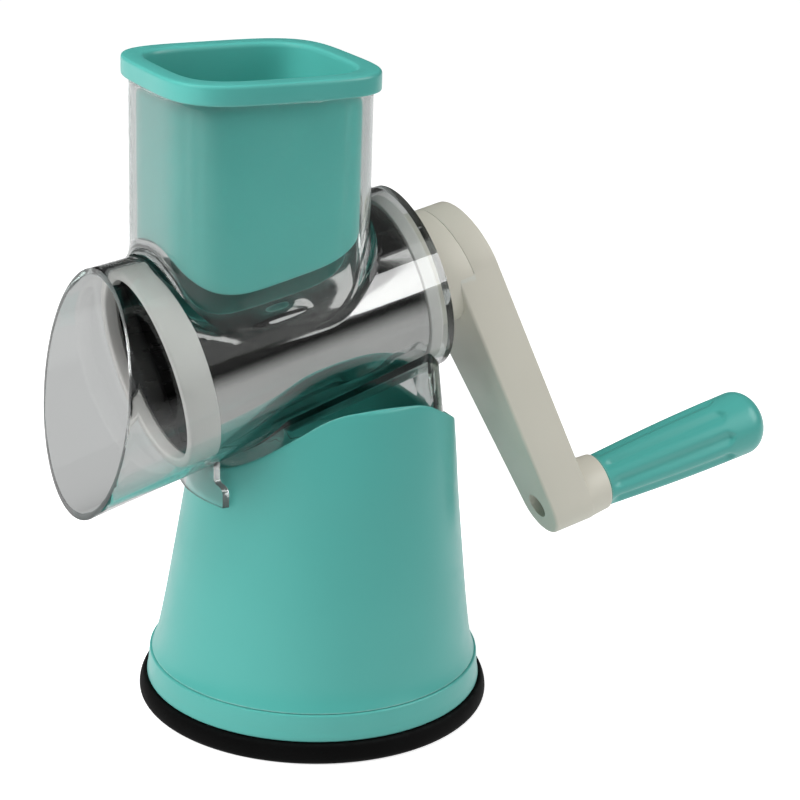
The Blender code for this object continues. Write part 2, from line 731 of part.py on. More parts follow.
barrel_inside = barrel("barrel_inside", BARREL_FRONT - BEYOND, inside_end, BARREL_WALL)
join(barrel_inside, slab("chute_inside", rounded_square(chute_in_length, chute_in_width),
                         CHUTE_ROOT, CHUTE_TOP + BEYOND, location=chute_at))
skirt_inside = skirt_solid("skirt_inside", SKIRT_WALL, skirt_low - SKIRT_DIP, SKIRT_TOP)
cut(skirt_inside, barrel("barrel_around", BARREL_FRONT - BEYOND, BARREL_REAR + BEYOND, -GAP))
cut(clear_housing, barrel_inside, skirt_inside,
    cylinder("bush_hole", BUSH_HOLE_RADIUS, inside_end - THROUGH, BARREL_REAR + THROUGH, 36, parent=HEAD))

# Bush in the rear wall, the bearing of the crank's journal
flange_front = BARREL_REAR + GAP
flange_back = flange_front + BUSH_FLANGE_THICKNESS
bush_front = inside_end + BUSH_SET_BACK
bush_bore = JOURNAL_RADIUS + RUNNING
turned("rear_bush", [
    (BUSH_FLANGE_RADIUS, flange_back),
    (BUSH_FLANGE_RADIUS, flange_front),
    (BUSH_HOLE_RADIUS - GAP, flange_front),
    (BUSH_HOLE_RADIUS - GAP, bush_front),
    (bush_bore, bush_front),
    (bush_bore, flange_back),
], group=PARTS, parent=HEAD, steps=36, finish=WHITE)

# Food pusher: an open cup with a rim that rests on the chute
rim_low = CHUTE_TOP + GAP
rim_top = rim_low + RIM_HEIGHT
pusher_length = chute_in_length - SLIDING_CLEARANCE
pusher_width = chute_in_width - SLIDING_CLEARANCE
food_pusher = slab("food_pusher", rounded_square(RIM_HALF_LENGTH, RIM_HALF_WIDTH), rim_low, rim_top,
                   group=PARTS, location=chute_at, finish=TURQUOISE, edge=RIM_EDGE)
join(food_pusher, slab("pusher_body", rounded_square(pusher_length, pusher_width), CHUTE_ROOT,
                       rim_low + BURIED, location=chute_at))
arch = cylinder("pusher_arch", PUSHER_ARCH_RADIUS, BARREL_FRONT, WIDE - BEYOND, TURN_STEPS, parent=HEAD)
floor_arch = cylinder("pusher_floor", PUSHER_ARCH_RADIUS + PUSHER_FLOOR, BARREL_FRONT - BEYOND, WIDE,
                      TURN_STEPS, parent=HEAD)
cavity = slab("pusher_cavity", rounded_square(pusher_length - PUSHER_WALL, pusher_width - PUSHER_WALL),
              CHUTE_ROOT - BEYOND, rim_top + BEYOND, location=chute_at)
cut(cavity, floor_arch)
cut(food_pusher, arch, cavity)


# Drum: front ring, steel shell with raised slicing slots, rear hub with a square socket
def steel_radius(along):
    return STEEL_RADIUS - BARREL_TAPER * (along - SHELL_FRONT)


ring_rear_radius = RING_FRONT_RADIUS - RING_DRAFT
turned("drum_front_ring", [
    (ring_rear_radius, RING_REAR),
    (RING_FRONT_RADIUS, RING_FRONT + RING_CHAMFER),
    (RING_FRONT_RADIUS - RING_CHAMFER, RING_FRONT),
    (RING_FRONT_RADIUS - RING_WALL + RING_CHAMFER, RING_FRONT),
    (RING_FRONT_RADIUS - RING_WALL, RING_FRONT + RING_CHAMFER),
    (RING_FRONT_RADIUS - RING_WALL, SHELL_FRONT - GAP),
    (steel_radius(SHELL_FRONT) + GAP, SHELL_FRONT - GAP),
    (steel_radius(RING_REAR) + GAP, RING_REAR),
], group=PARTS, parent=HEAD, finish=WHITE)

drum_shell = turned("drum_shell", [
    (steel_radius(STEEL_REAR), STEEL_REAR),
    (steel_radius(SHELL_FRONT), SHELL_FRONT),
    (steel_radius(SHELL_FRONT) - STEEL_WALL, SHELL_FRONT),
    (steel_radius(STEEL_REAR) - STEEL_WALL, STEEL_REAR),
], group=PARTS, parent=HEAD, finish=STEEL)
for i in range(SLOT_COUNT):
    turn = SLOT_TURN + 2 * math.pi * i / SLOT_COUNT
    front = SLOT_FRONT + SLOT_STAGGER * ((i + 1) % 2)
    back = front + SLOT_LENGTH
    radius = steel_radius((front + back) / 2)
    lip_end = LIP_WIDTH / 4
    join(drum_shell, box("slot_lip", (radius - STEEL_WALL, -SLOT_WIDTH / 2 - LIP_WIDTH, front + lip_end),
                         (radius + LIP_HEIGHT, -SLOT_WIDTH / 4, back - lip_end),
                         parent=HEAD, rotation=(0, 0, turn)))
    cut(drum_shell, box("slot", (radius - SLOT_DEPTH, -SLOT_WIDTH / 2, front),
                        (radius + SLOT_DEPTH, SLOT_WIDTH / 2, back), parent=HEAD, rotation=(0, 0, turn)))

hub_front = STEEL_REAR + GAP
web_front = HUB_REAR - HUB_WEB
spigot_front = hub_front - HUB_SPIGOT_LENGTH
spigot_radius = steel_radius(STEEL_REAR) - STEEL_WALL - GAP
drum_hub = turned("drum_hub", [
    (0, HUB_REAR),
    (HUB_RIM_RADIUS - HUB_CHAMFER, HUB_REAR),
    (HUB_RIM_RADIUS, HUB_REAR - HUB_CHAMFER),
    (HUB_RIM_RADIUS, hub_front),
    (spigot_radius, hub_front),
    (spigot_radius, spigot_front),
    (spigot_radius - HUB_SPIGOT_WALL, spigot_front),
    (spigot_radius - HUB_SPIGOT_WALL, web_front),
    (SOCKET_RADIUS, web_front),
    (SOCKET_RADIUS, SOCKET_FRONT),
    (0, SOCKET_FRONT),
], group=PARTS, parent=HEAD, finish=WHITE)
half = SQUARE_DRIVE / 2 + GAP
cut(drum_hub, box("drive_socket", (-half, -half, SOCKET_FRONT - THROUGH), (half, half, HUB_REAR + THROUGH),
                  parent=CRANK))

# Drive shaft: square nose in the drum, round journal in the bush, square head in the crank
journal_front = HUB_REAR + GAP
collar_front = flange_back + COLLAR_GAP
drive_shaft = cylinder("drive_shaft", JOURNAL_RADIUS, journal_front, collar_front, 36, group=PARTS,
                       parent=CRANK, finish=NYLON)
half = SQUARE_DRIVE / 2
nose_front = SOCKET_FRONT + BURIED
join(drive_shaft, box("shaft_nose", (-half, -half, nose_front), (half, half, journal_front + BURIED),
                      parent=CRANK))
half = SQUARE_HEAD / 2
join(drive_shaft, box("shaft_head", (-half, -half, collar_front - SQUARE_OVERLAP), (half, half, SQUARE_HEAD_END),
                      parent=CRANK))
hub_screw_hole = HUB_SCREW_SHANK_RADIUS + GAP
cut(drive_shaft, cylinder("shaft_hole", hub_screw_hole, SQUARE_HEAD_END - SHAFT_HOLE_DEPTH,
                          SQUARE_HEAD_END + THROUGH, 16, parent=CRANK))

# Collar between the barrel and the crank arm, cut to the arm's lean
half = SQUARE_HEAD / 2 + GAP
head_socket = box("head_socket", (-half, -half, collar_front - THROUGH), (half, half, SQUARE_HEAD_END + GAP),
                  parent=CRANK)
crank_collar = turned("crank_collar", [
    (0, ARM_INNER + COLLAR_REACH),
    (CRANK_HEAD_RADIUS, ARM_INNER + COLLAR_REACH),
    (CRANK_HEAD_RADIUS, collar_front + CRANK_EDGE),
    (CRANK_HEAD_RADIUS - CRANK_EDGE, collar_front),
    (0, collar_front),
], group=PARTS, parent=CRANK, finish=STONE)
cut(crank_collar,
    box("collar_cut", (-WIDE, -WIDE, -GAP), (WIDE, WIDE, WIDE), parent=CRANK, location=(0, 0, ARM_INNER),
        rotation=(0, -CRANK_LEAN, 0)),
    head_socket)

# Crank arm: a tapered bar that leans outwards, with a boss for the grip
arm_middle = CRANK_THICKNESS / 2
crank_arm = slab("crank_arm", tapered_bar(CRANK_HEAD_RADIUS, CRANK_END_RADIUS, CRANK_LENGTH),
                 0, CRANK_THICKNESS, group=PARTS, parent=CRANK, location=(0, 0, ARM_INNER),
                 rotation=(0, -CRANK_LEAN, 0), finish=STONE, edge=CRANK_EDGE)
arm_end_inner = ARM_INNER + CRANK_LENGTH * math.sin(CRANK_LEAN)
boss_start = arm_end_inner + arm_middle
join(crank_arm, cylinder("grip_boss", GRIP_BOSS_RADIUS, boss_start, BOSS_END, 36, parent=GRIP))
spindle_seat = arm_end_inner + SPINDLE_SEAT
cut(crank_arm,
    head_socket,
    stepped("hub_screw_hole", hub_screw_hole, CAP_RADIUS + GAP, SQUARE_HEAD_END - BURIED, COUNTERBORE_FLOOR,
            COUNTERBORE_FLOOR + CRANK_THICKNESS, parent=CRANK),
    stepped("spindle_hole", SPINDLE_RADIUS + GAP, SPINDLE_HEAD_RADIUS + GAP, -BOSS_END - THROUGH, -spindle_seat,
            CRANK_THICKNESS - spindle_seat, parent=GRIP, rotation=(math.pi, 0, 0)))

# Screw and cap on the crank's outer face
seat = COUNTERBORE_FLOOR + GAP
turned("hub_screw", [
    (0, seat + HUB_SCREW_HEAD_HEIGHT),
    (HUB_SCREW_HEAD_RADIUS * SCREW_DOME_SHARE, seat + HUB_SCREW_HEAD_HEIGHT),
    (HUB_SCREW_HEAD_RADIUS, seat),
    (HUB_SCREW_SHANK_RADIUS, seat),
    (HUB_SCREW_SHANK_RADIUS, seat - HUB_SCREW_LENGTH),
    (0, seat - HUB_SCREW_LENGTH),
], group=PARTS, parent=CRANK, steps=24, finish=ZINC)
cap_low = seat + HUB_SCREW_HEAD_HEIGHT + GAP
turned("hub_cap", [
    (0, cap_low + CAP_THICKNESS),
    (CAP_RADIUS * CAP_EDGE_SHARE, cap_low + CAP_THICKNESS),
    (CAP_RADIUS, cap_low + CAP_THICKNESS * CAP_EDGE_SHARE),
    (CAP_RADIUS, cap_low),
    (0, cap_low),
], group=PARTS, parent=CRANK, steps=SMALL_STEPS, finish=STONE)

# Spindle and the grip that turns on it
grip_low = BOSS_END + GAP
spindle_head = spindle_seat - GAP
turned("grip_spindle", [
    (0, spindle_head + SPINDLE_LENGTH),
    (SPINDLE_RADIUS - SPINDLE_TIP, spindle_head + SPINDLE_LENGTH),
    (SPINDLE_RADIUS, spindle_head + SPINDLE_LENGTH - SPINDLE_TIP),
    (SPINDLE_RADIUS, spindle_head),
    (SPINDLE_HEAD_RADIUS, spindle_head),
    (SPINDLE_HEAD_RADIUS * SCREW_DOME_SHARE, spindle_head - SPINDLE_HEAD_HEIGHT),
    (0, spindle_head - SPINDLE_HEAD_HEIGHT),
], group=PARTS, parent=GRIP, steps=24, finish=ZINC)
grip_end = grip_low + GRIP_LENGTH
swell = GRIP_BODY_RADIUS - GRIP_NECK_RADIUS
bore = SPINDLE_RADIUS + RUNNING
grip_profile = [(0, grip_end)]
for i in range(1, GRIP_DOME_STEPS + 1):
    angle = math.pi / 2 * i / GRIP_DOME_STEPS
    grip_profile.append((GRIP_BODY_RADIUS * math.sin(angle), grip_end - GRIP_DOME * (1 - math.cos(angle))))
grip_profile += [
    (GRIP_NECK_RADIUS + swell * GRIP_SHOULDER_SWELL, grip_low + GRIP_LENGTH * GRIP_SHOULDER),
    (GRIP_NECK_RADIUS + swell * GRIP_WAIST_SWELL, grip_low + GRIP_LENGTH * GRIP_WAIST),
    (GRIP_NECK_RADIUS, grip_low),
    (bore, grip_low),
    (bore, grip_end - GRIP_BORE_END),
    (0, grip_end - GRIP_BORE_END),
]
turned("grip", grip_profile, group=PARTS, parent=GRIP, steps=28, finish=TURQUOISE)

for item in PARTS.objects:
    if item.type == "MESH" and item.name != "base_shell":
        smooth(item)
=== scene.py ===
import json
import math

import bmesh
import bpy
from mathutils import Matrix, Vector

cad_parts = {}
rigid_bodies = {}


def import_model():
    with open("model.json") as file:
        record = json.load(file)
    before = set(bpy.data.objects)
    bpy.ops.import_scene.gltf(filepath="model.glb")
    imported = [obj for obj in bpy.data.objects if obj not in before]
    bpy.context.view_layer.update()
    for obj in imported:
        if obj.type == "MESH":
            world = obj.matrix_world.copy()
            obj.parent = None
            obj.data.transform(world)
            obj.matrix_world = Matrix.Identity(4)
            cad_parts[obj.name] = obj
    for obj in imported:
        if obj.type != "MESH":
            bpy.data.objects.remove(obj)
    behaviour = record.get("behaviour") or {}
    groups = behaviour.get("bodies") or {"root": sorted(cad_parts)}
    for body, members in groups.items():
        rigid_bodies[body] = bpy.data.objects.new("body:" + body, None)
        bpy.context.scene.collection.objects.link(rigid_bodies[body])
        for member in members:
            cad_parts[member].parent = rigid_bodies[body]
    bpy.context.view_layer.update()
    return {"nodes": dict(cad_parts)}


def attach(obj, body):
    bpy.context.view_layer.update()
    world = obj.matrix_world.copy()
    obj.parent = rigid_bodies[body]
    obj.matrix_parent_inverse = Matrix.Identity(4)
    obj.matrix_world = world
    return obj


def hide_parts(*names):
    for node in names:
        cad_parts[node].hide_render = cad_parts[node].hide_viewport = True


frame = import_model()
print("frame loaded:", len(frame["nodes"]), "nodes")

# where the moving parts turn; Z of each frame is the axis that its pieces turn about
axes = {
    "height": 0.1556,
    "tilt": math.radians(13.0),
    "crankAngle": math.radians(-9.8),
    "crankLean": math.radians(10.6),
    "crankLength": 0.1082,
    "leverHeight": 0.0400,
}
headFrame = Matrix.Translation((0, 0, axes["height"])) @ Matrix.Rotation(math.pi / 2 - axes["tilt"], 4, "Y")
crankFrame = headFrame @ Matrix.Rotation(axes["crankAngle"], 4, "Z")
gripReach = axes["crankLength"] * math.cos(axes["crankLean"])
gripFrame = crankFrame @ Matrix.Translation((gripReach, 0, 0))
leverFrame = Matrix.Translation((0, 0, axes["leverHeight"])) @ Matrix.Rotation(-math.pi / 2, 4, "X")
roundSteps, fineSteps, smallSteps, holeSteps = 144, 192, 72, 64  # how many flats make a circle
barrelTaper = 0.050


# shapes
def bend(start, corner, end, count):
    # points of a soft bend from start to end, pulled towards the corner
    points = []
    for i in range(count + 1):
        t = i / count
        points.append(tuple((1 - t) ** 2 * a + 2 * t * (1 - t) * b + t * t * c
                            for a, b, c in zip(start, corner, end)))
    return points


def softened(line, radius, count=4, closed=False):
    # the same line with every corner rounded off; a radius may also be a list, one for each corner
    points = []
    total = len(line)
    for i, corner in enumerate(line):
        reach = radius[i] if isinstance(radius, (list, tuple)) else radius
        if reach == 0 or (not closed and i in (0, total - 1)):
            points.append(tuple(corner))
            continue
        here = Vector(corner)
        before = Vector(line[i - 1]) - here
        after = Vector(line[(i + 1) % total]) - here
        first = here + before.normalized() * min(reach, before.length * 0.48)
        last = here + after.normalized() * min(reach, after.length * 0.48)
        points += bend(first, here, last, count)
    return points


def skin(name, rows, first=False, last=False, ring=False, place=None):
    # a surface through closed rows of points; first and last fill the end rows, ring joins last to first
    mesh = bpy.data.meshes.new(name)
    shape = bmesh.new()
    lines = [[shape.verts.new(point) for point in row] for row in rows]
    pairs = list(zip(lines, lines[1:]))
    if ring:
        pairs.append((lines[-1], lines[0]))
    for a, b in pairs:
        count = len(a)
        for i in range(count):
            j = (i + 1) % count
            shape.faces.new((a[i], a[j], b[j], b[i]))
    if first:
        shape.faces.new(lines[0][::-1])
    if last:
        shape.faces.new(lines[-1])
    bmesh.ops.recalc_face_normals(shape, faces=shape.faces[:])
    shape.to_mesh(mesh)
    shape.free()
    item = bpy.data.objects.new(name, mesh)
    bpy.context.scene.collection.objects.link(item)
    if place is not None:
        mesh.transform(place)
    return item


def circle(radius, height, steps, shift=0.0):
    # a level ring of points; shift moves its middle along X
    angles = [2 * math.pi * i / steps for i in range(steps)]
    return [(shift + radius * math.cos(a), radius * math.sin(a), height) for a in angles]


def turned(name, profile, place=None, steps=roundSteps, ring=False):
    # a profile of (radius, height) points turned about Z; without ring its two ends are filled flat
    rows = [circle(radius, height, steps) for radius, height in profile]
    return skin(name, rows, not ring, not ring, ring, place)


def turnedFrom(look, name, place=None, steps=roundSteps, ring=False):
    # turned from a dictionary's profile with its corners rounded; ring is for a profile that closes on itself
    return turned(name, softened(look["profile"], look["rounding"], closed=ring), place, steps, ring)


def prism(name, outline, low, high, place=None):
    # an outline in XY carried from low to high along Z
    rows = [[(x, y, z) for x, y in outline] for z in (low, high)]
    return skin(name, rows, True, True, place=place)


def squareOutline(half):
    return [(-half, -half), (half, -half), (half, half), (-half, half)]


def roundedSquare(halfLength, halfWidth, count=120, squareness=4.0):
    outline = []
    for i in range(count):
        angle = 2 * math.pi * i / count
        c, s = math.cos(angle), math.sin(angle)
        outline.append((math.copysign(abs(c) ** (2 / squareness), c) * halfLength,
                        math.copysign(abs(s) ** (2 / squareness), s) * halfWidth))
    return outline


def applied(item, step):
    # the item's mesh takes on what its modifier does
    bpy.context.view_layer.update()
    seen = item.evaluated_get(bpy.context.evaluated_depsgraph_get())
    mesh = bpy.data.meshes.new_from_object(seen)
    item.modifiers.remove(step)
    item.data = mesh


def merged(item, tool, operation="UNION"):
    # the item joined with or cut by the tool, which is used up
    step = item.modifiers.new("merge", "BOOLEAN")
    step.operation = operation
    step.object = tool
    step.solver = "EXACT"
    applied(item, step)
    bpy.data.objects.remove(tool, do_unlink=True)
    return item


def drilled(item, radius, low, high, place, steps=smallSteps):
    # the item with a round hole cut from low to high along Z of the place
    return merged(item, turned("drill", [(radius, low), (radius, high)], place, steps), "DIFFERENCE")


def softenEdges(item, chosen, width, segments=3):
    # rounds the edges whose two ends both pass the test
    shape = bmesh.new()
    shape.from_mesh(item.data)
    edges = [e for e in shape.edges if chosen(e.verts[0].co) and chosen(e.verts[1].co)
             and len(e.link_faces) == 2 and e.calc_face_angle(0) > 0.5]
    if edges:
        bmesh.ops.bevel(shape, geom=edges, offset=width, offset_type="OFFSET", segments=segments,
                        profile=0.5, affect="EDGES", clamp_overlap=True)
    shape.to_mesh(item.data)
    shape.free()
    return len(edges)


def finished(item, body, finish, replaces=(), angle=32):
    # smooth shading, material and body of a piece that is in place; the CAD parts it replaces are hidden
    item.data.shade_smooth()
    item.data.set_sharp_from_angle(angle=math.radians(angle))
    item.data.materials.clear()
    item.data.materials.append(finish)
    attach(item, body)
    if replaces:
        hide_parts(*replaces)
    return item


def smoothCurve(points):
    # a function through (height, radius) points with even slopes between them
    points = sorted(points)
    count = len(points)
    slopes = []
    for i in range(count):
        a = points[max(i - 1, 0)]
        b = points[min(i + 1, count - 1)]
        slopes.append((b[1] - a[1]) / (b[0] - a[0]))

    def at(height):
        height = min(max(height, points[0][0]), points[-1][0])
        for i in range(count - 1):
            if height <= points[i + 1][0]:
                break
        (h0, r0), (h1, r1) = points[i], points[i + 1]
        span = h1 - h0
        t = (height - h0) / span
        return ((2 * t ** 3 - 3 * t * t + 1) * r0 + (t ** 3 - 2 * t * t + t) * span * slopes[i]
                + (3 * t * t - 2 * t ** 3) * r1 + (t ** 3 - t * t) * span * slopes[i + 1])
    return at


# shared surface effects
def newGroup(name, inputs, outputs):
    group = bpy.data.node_groups.new(name, "ShaderNodeTree")
    for label, kind, value in inputs:
        group.interface.new_socket(name=label, in_out="INPUT", socket_type=kind).default_value = value
    for label, kind in outputs:
        group.interface.new_socket(name=label, in_out="OUTPUT", socket_type=kind)
    return group, group.nodes.new("NodeGroupInput"), group.nodes.new("NodeGroupOutput")


def mapRange(tree, source, low, high, toLow=0.0, toHigh=1.0):
    node = tree.nodes.new("ShaderNodeMapRange")
    node.inputs["From Min"].default_value = low
    node.inputs["From Max"].default_value = high
    node.inputs["To Min"].default_value = toLow
    node.inputs["To Max"].default_value = toHigh
    tree.links.new(source, node.inputs["Value"])
    return node.outputs["Result"]


def math2(tree, operation, a, b):
    node = tree.nodes.new("ShaderNodeMath")
    node.operation = operation
    for i, value in enumerate((a, b)):
        if isinstance(value, (int, float)):
            node.inputs[i].default_value = value
        else:
            tree.links.new(value, node.inputs[i])
    return node.outputs[0]


def mixColour(tree, factor, a, b, blend="MIX"):
    node = tree.nodes.new("ShaderNodeMix")
    node.data_type = "RGBA"
    node.blend_type = blend
    for socket, value in ((node.inputs[0], factor), (node.inputs[6], a), (node.inputs[7], b)):
        if isinstance(value, (int, float, tuple)):
            socket.default_value = value
        else:
            tree.links.new(value, socket)
    return node.outputs[2]


def noise(tree, place, scale, detail=3.0, roughness=0.55):
    node = tree.nodes.new("ShaderNodeTexNoise")
    node.inputs["Scale"].default_value = scale
    node.inputs["Detail"].default_value = detail
    node.inputs["Roughness"].default_value = roughness
    tree.links.new(place, node.inputs["Vector"])
    return node.outputs["Fac"]


def makeEdgeWear():
    # how far a place is on an outer edge, broken up by noise
    group, inside, outside = newGroup(
        "edgeWear", [("Width", "NodeSocketFloat", 0.0008), ("Break Up", "NodeSocketFloat", 0.5)],
        [("Mask", "NodeSocketFloat")])
    where = group.nodes.new("ShaderNodeNewGeometry")
    coordinates = group.nodes.new("ShaderNodeTexCoord")
    soft = group.nodes.new("ShaderNodeBevel")
    soft.samples = 4
    group.links.new(inside.outputs["Width"], soft.inputs["Radius"])
    across = group.nodes.new("ShaderNodeVectorMath")
    across.operation = "DOT_PRODUCT"
    group.links.new(where.outputs["Normal"], across.inputs[0])
    group.links.new(soft.outputs["Normal"], across.inputs[1])
    turnedAway = mapRange(group, across.outputs["Value"], 0.999, 0.86)
    patchy = mapRange(group, noise(group, coordinates.outputs["Object"], 320.0), 0.35, 0.65)
    kept = math2(group, "SUBTRACT", 1.0, math2(group, "MULTIPLY", inside.outputs["Break Up"], patchy))
    group.links.new(math2(group, "MULTIPLY", turnedAway, kept), outside.inputs["Mask"])
    return group


def makeMouldedPlastic():
    # slow colour drift, a fine texture from the mould and small handling marks
    group, inside, outside = newGroup(
        "mouldedPlastic",
        [("Colour", "NodeSocketColor", (0.5, 0.5, 0.5, 1)), ("Drift", "NodeSocketFloat", 0.06),
         ("Roughness", "NodeSocketFloat", 0.3), ("Texture", "NodeSocketFloat", 0.4),
         ("Edge", "NodeSocketFloat", 0.0)],
        [("Colour", "NodeSocketColor"), ("Roughness", "NodeSocketFloat"), ("Height", "NodeSocketFloat")])
    coordinates = group.nodes.new("ShaderNodeTexCoord")
    place = coordinates.outputs["Object"]
    broad = mapRange(group, noise(group, place, 16.0, 2.0), 0.3, 0.7, -1.0, 1.0)
    shade = math2(group, "ADD", 1.0, math2(group, "MULTIPLY", broad, inside.outputs["Drift"]))
    tinted = group.nodes.new("ShaderNodeVectorMath")
    tinted.operation = "SCALE"
    group.links.new(inside.outputs["Colour"], tinted.inputs[0])
    group.links.new(shade, tinted.inputs["Scale"])
    worn = math2(group, "MULTIPLY", inside.outputs["Edge"], 0.35)
    pale = mixColour(group, worn, tinted.outputs["Vector"], (0.80, 0.86, 0.84, 1))
    group.links.new(pale, outside.inputs["Colour"])
    fine = noise(group, place, 900.0, 4.0, 0.6)
    smudge = mapRange(group, noise(group, place, 55.0, 5.0, 0.65), 0.42, 0.70)
    rough = math2(group, "ADD", inside.outputs["Roughness"], math2(group, "MULTIPLY", smudge, 0.10))
    rough = math2(group, "ADD", rough, math2(group, "MULTIPLY", worn, 0.3))
    group.links.new(rough, outside.inputs["Roughness"])
    scratch = mapRange(group, noise(group, place, 140.0, 6.0, 0.7), 0.30, 0.36, -1.0, 0.0)
    texture = math2(group, "MULTIPLY", fine, inside.outputs["Texture"])
    height = math2(group, "ADD", texture, math2(group, "MULTIPLY", scratch, 0.25))
    group.links.new(height, outside.inputs["Height"])
    return group


def makeMetalGrain():
    # fine marks that run one way round a turned or drawn metal part
    group, inside, outside = newGroup(
        "metalGrain",
        [("Stretch", "NodeSocketVector", (1, 1, 1)), ("Scale", "NodeSocketFloat", 400.0),
         ("Roughness", "NodeSocketFloat", 0.1), ("Spread", "NodeSocketFloat", 0.06)],
        [("Roughness", "NodeSocketFloat"), ("Height", "NodeSocketFloat"), ("Shade", "NodeSocketFloat")])
    coordinates = group.nodes.new("ShaderNodeTexCoord")
    stretched = group.nodes.new("ShaderNodeVectorMath")
    stretched.operation = "MULTIPLY"
    group.links.new(coordinates.outputs["Object"], stretched.inputs[0])
    group.links.new(inside.outputs["Stretch"], stretched.inputs[1])
    marks = group.nodes.new("ShaderNodeTexNoise")
    marks.inputs["Detail"].default_value = 4.0
    group.links.new(stretched.outputs["Vector"], marks.inputs["Vector"])
    group.links.new(inside.outputs["Scale"], marks.inputs["Scale"])
    spread = mapRange(group, marks.outputs["Fac"], 0.3, 0.7, -1.0, 1.0)
    rough = math2(group, "ADD", inside.outputs["Roughness"],
                  math2(group, "MULTIPLY", spread, inside.outputs["Spread"]))
    group.links.new(math2(group, "MAXIMUM", rough, 0.03), outside.inputs["Roughness"])
    group.links.new(marks.outputs["Fac"], outside.inputs["Height"])
    cloudy = mapRange(group, noise(group, coordinates.outputs["Object"], 30.0), 0.3, 0.7, 0.93, 1.0)
    group.links.new(cloudy, outside.inputs["Shade"])
    return group


def addGroup(tree, group, **values):
    node = tree.nodes.new("ShaderNodeGroup")
    node.node_tree = group
    for label, value in values.items():
        socket = node.inputs[label.replace("_", " ")]
        if hasattr(value, "is_output"):
            tree.links.new(value, socket)
        else:
            socket.default_value = value
    return node


def addBump(tree, shader, height, strength, distance):
    node = tree.nodes.new("ShaderNodeBump")
    node.inputs["Strength"].default_value = strength
    node.inputs["Distance"].default_value = distance
    tree.links.new(height, node.inputs["Height"])
    tree.links.new(node.outputs["Normal"], shader.inputs["Normal"])


def newMaterial(name):
    made = bpy.data.materials.new(name)
    made.use_nodes = True
    tree = made.node_tree
    return made, tree, tree.nodes["Principled BSDF"]


edgeWear = makeEdgeWear()
mouldedPlastic = makeMouldedPlastic()
metalGrain = makeMetalGrain()

# gloss is the shader's own specular level, and bump the depth of the mould's texture in metres
plastics = {
    "turquoise": {"colour": (0.095, 0.475, 0.425, 1), "rough": 0.30, "texture": 0.35, "drift": 0.030,
                  "coat": 0.10, "bump": 0.00003, "gloss": 0.5},
    "whiteRing": {"colour": (0.59, 0.58, 0.56, 1), "rough": 0.38, "texture": 0.35, "drift": 0.025,
                  "coat": 0.0, "bump": 0.00003, "gloss": 0.5},
    "stone": {"colour": (0.75, 0.725, 0.625, 1), "rough": 0.42, "texture": 0.5, "drift": 0.03,
              "coat": 0.0, "bump": 0.00005, "gloss": 0.5},
    "blackRubber": {"colour": (0.004, 0.004, 0.004, 1), "rough": 0.60, "texture": 1.0, "drift": 0.2,
                    "coat": 0.0, "bump": 0.00010, "gloss": 0.06},
    "greyNylon": {"colour": (0.30, 0.31, 0.31, 1), "rough": 0.50, "texture": 0.6, "drift": 0.05,
                  "coat": 0.0, "bump": 0.00006, "gloss": 0.5},
}


def makePlastic(name, look):
    made, tree, shader = newMaterial(name)
    edge = addGroup(tree, edgeWear, Width=0.0007, Break_Up=0.6)
    surface = addGroup(tree, mouldedPlastic, Colour=look["colour"], Drift=look["drift"],
                       Roughness=look["rough"], Texture=look["texture"], Edge=edge.outputs["Mask"])
    tree.links.new(surface.outputs["Colour"], shader.inputs["Base Color"])
    tree.links.new(surface.outputs["Roughness"], shader.inputs["Roughness"])
    shader.inputs["Coat Weight"].default_value = look["coat"]
    shader.inputs["Coat Roughness"].default_value = 0.15
    shader.inputs["IOR"].default_value = 1.49
    shader.inputs["Specular IOR Level"].default_value = look["gloss"]
    addBump(tree, shader, surface.outputs["Height"], 0.5, look["bump"])
    return made


# stretch says how much finer the marks are along each axis
metals = {
    "drumSteel": {"colour": (0.66, 0.65, 0.64, 1), "rough": 0.05, "spread": 0.02, "stretch": (1, 6, 6),
                  "scale": 160.0, "bump": 0.000005},
    # the inside of the drum is the same steel as the outside; its near-black colour is painted shade
    "drumInsidePaintedShade": {"colour": (0.035, 0.034, 0.032, 1), "rough": 0.32, "spread": 0.08, "stretch": (1, 6, 6),
                   "scale": 120.0, "bump": 0.00003},
    "zincSteel": {"colour": (0.55, 0.55, 0.54, 1), "rough": 0.30, "spread": 0.08, "stretch": (1, 1, 1),
                  "scale": 500.0, "bump": 0.00002},
}


def makeMetal(name, look):
    made, tree, shader = newMaterial(name)
    grain = addGroup(tree, metalGrain, Stretch=look["stretch"], Scale=look["scale"], Roughness=look["rough"],
                     Spread=look["spread"])
    shader.inputs["Metallic"].default_value = 1.0
    tint = mixColour(tree, 1.0, look["colour"], grain.outputs["Shade"], "MULTIPLY")
    tree.links.new(tint, shader.inputs["Base Color"])
    tree.links.new(grain.outputs["Roughness"], shader.inputs["Roughness"])
    addBump(tree, shader, grain.outputs["Height"], 0.25, look["bump"])
    return made


# the shares of light that pass the clear moulding unbent: always, and for a ray bent more than "bends" times
clearLook = {"tint": (0.97, 0.985, 0.98, 1), "through": (0.93, 0.95, 0.945, 1), "always": 0.05, "bends": 5.5,
             "afterBends": 0.6, "absorbs": (0.35, 0.42, 0.40, 1), "density": 12.0, "smudge": 0.02}


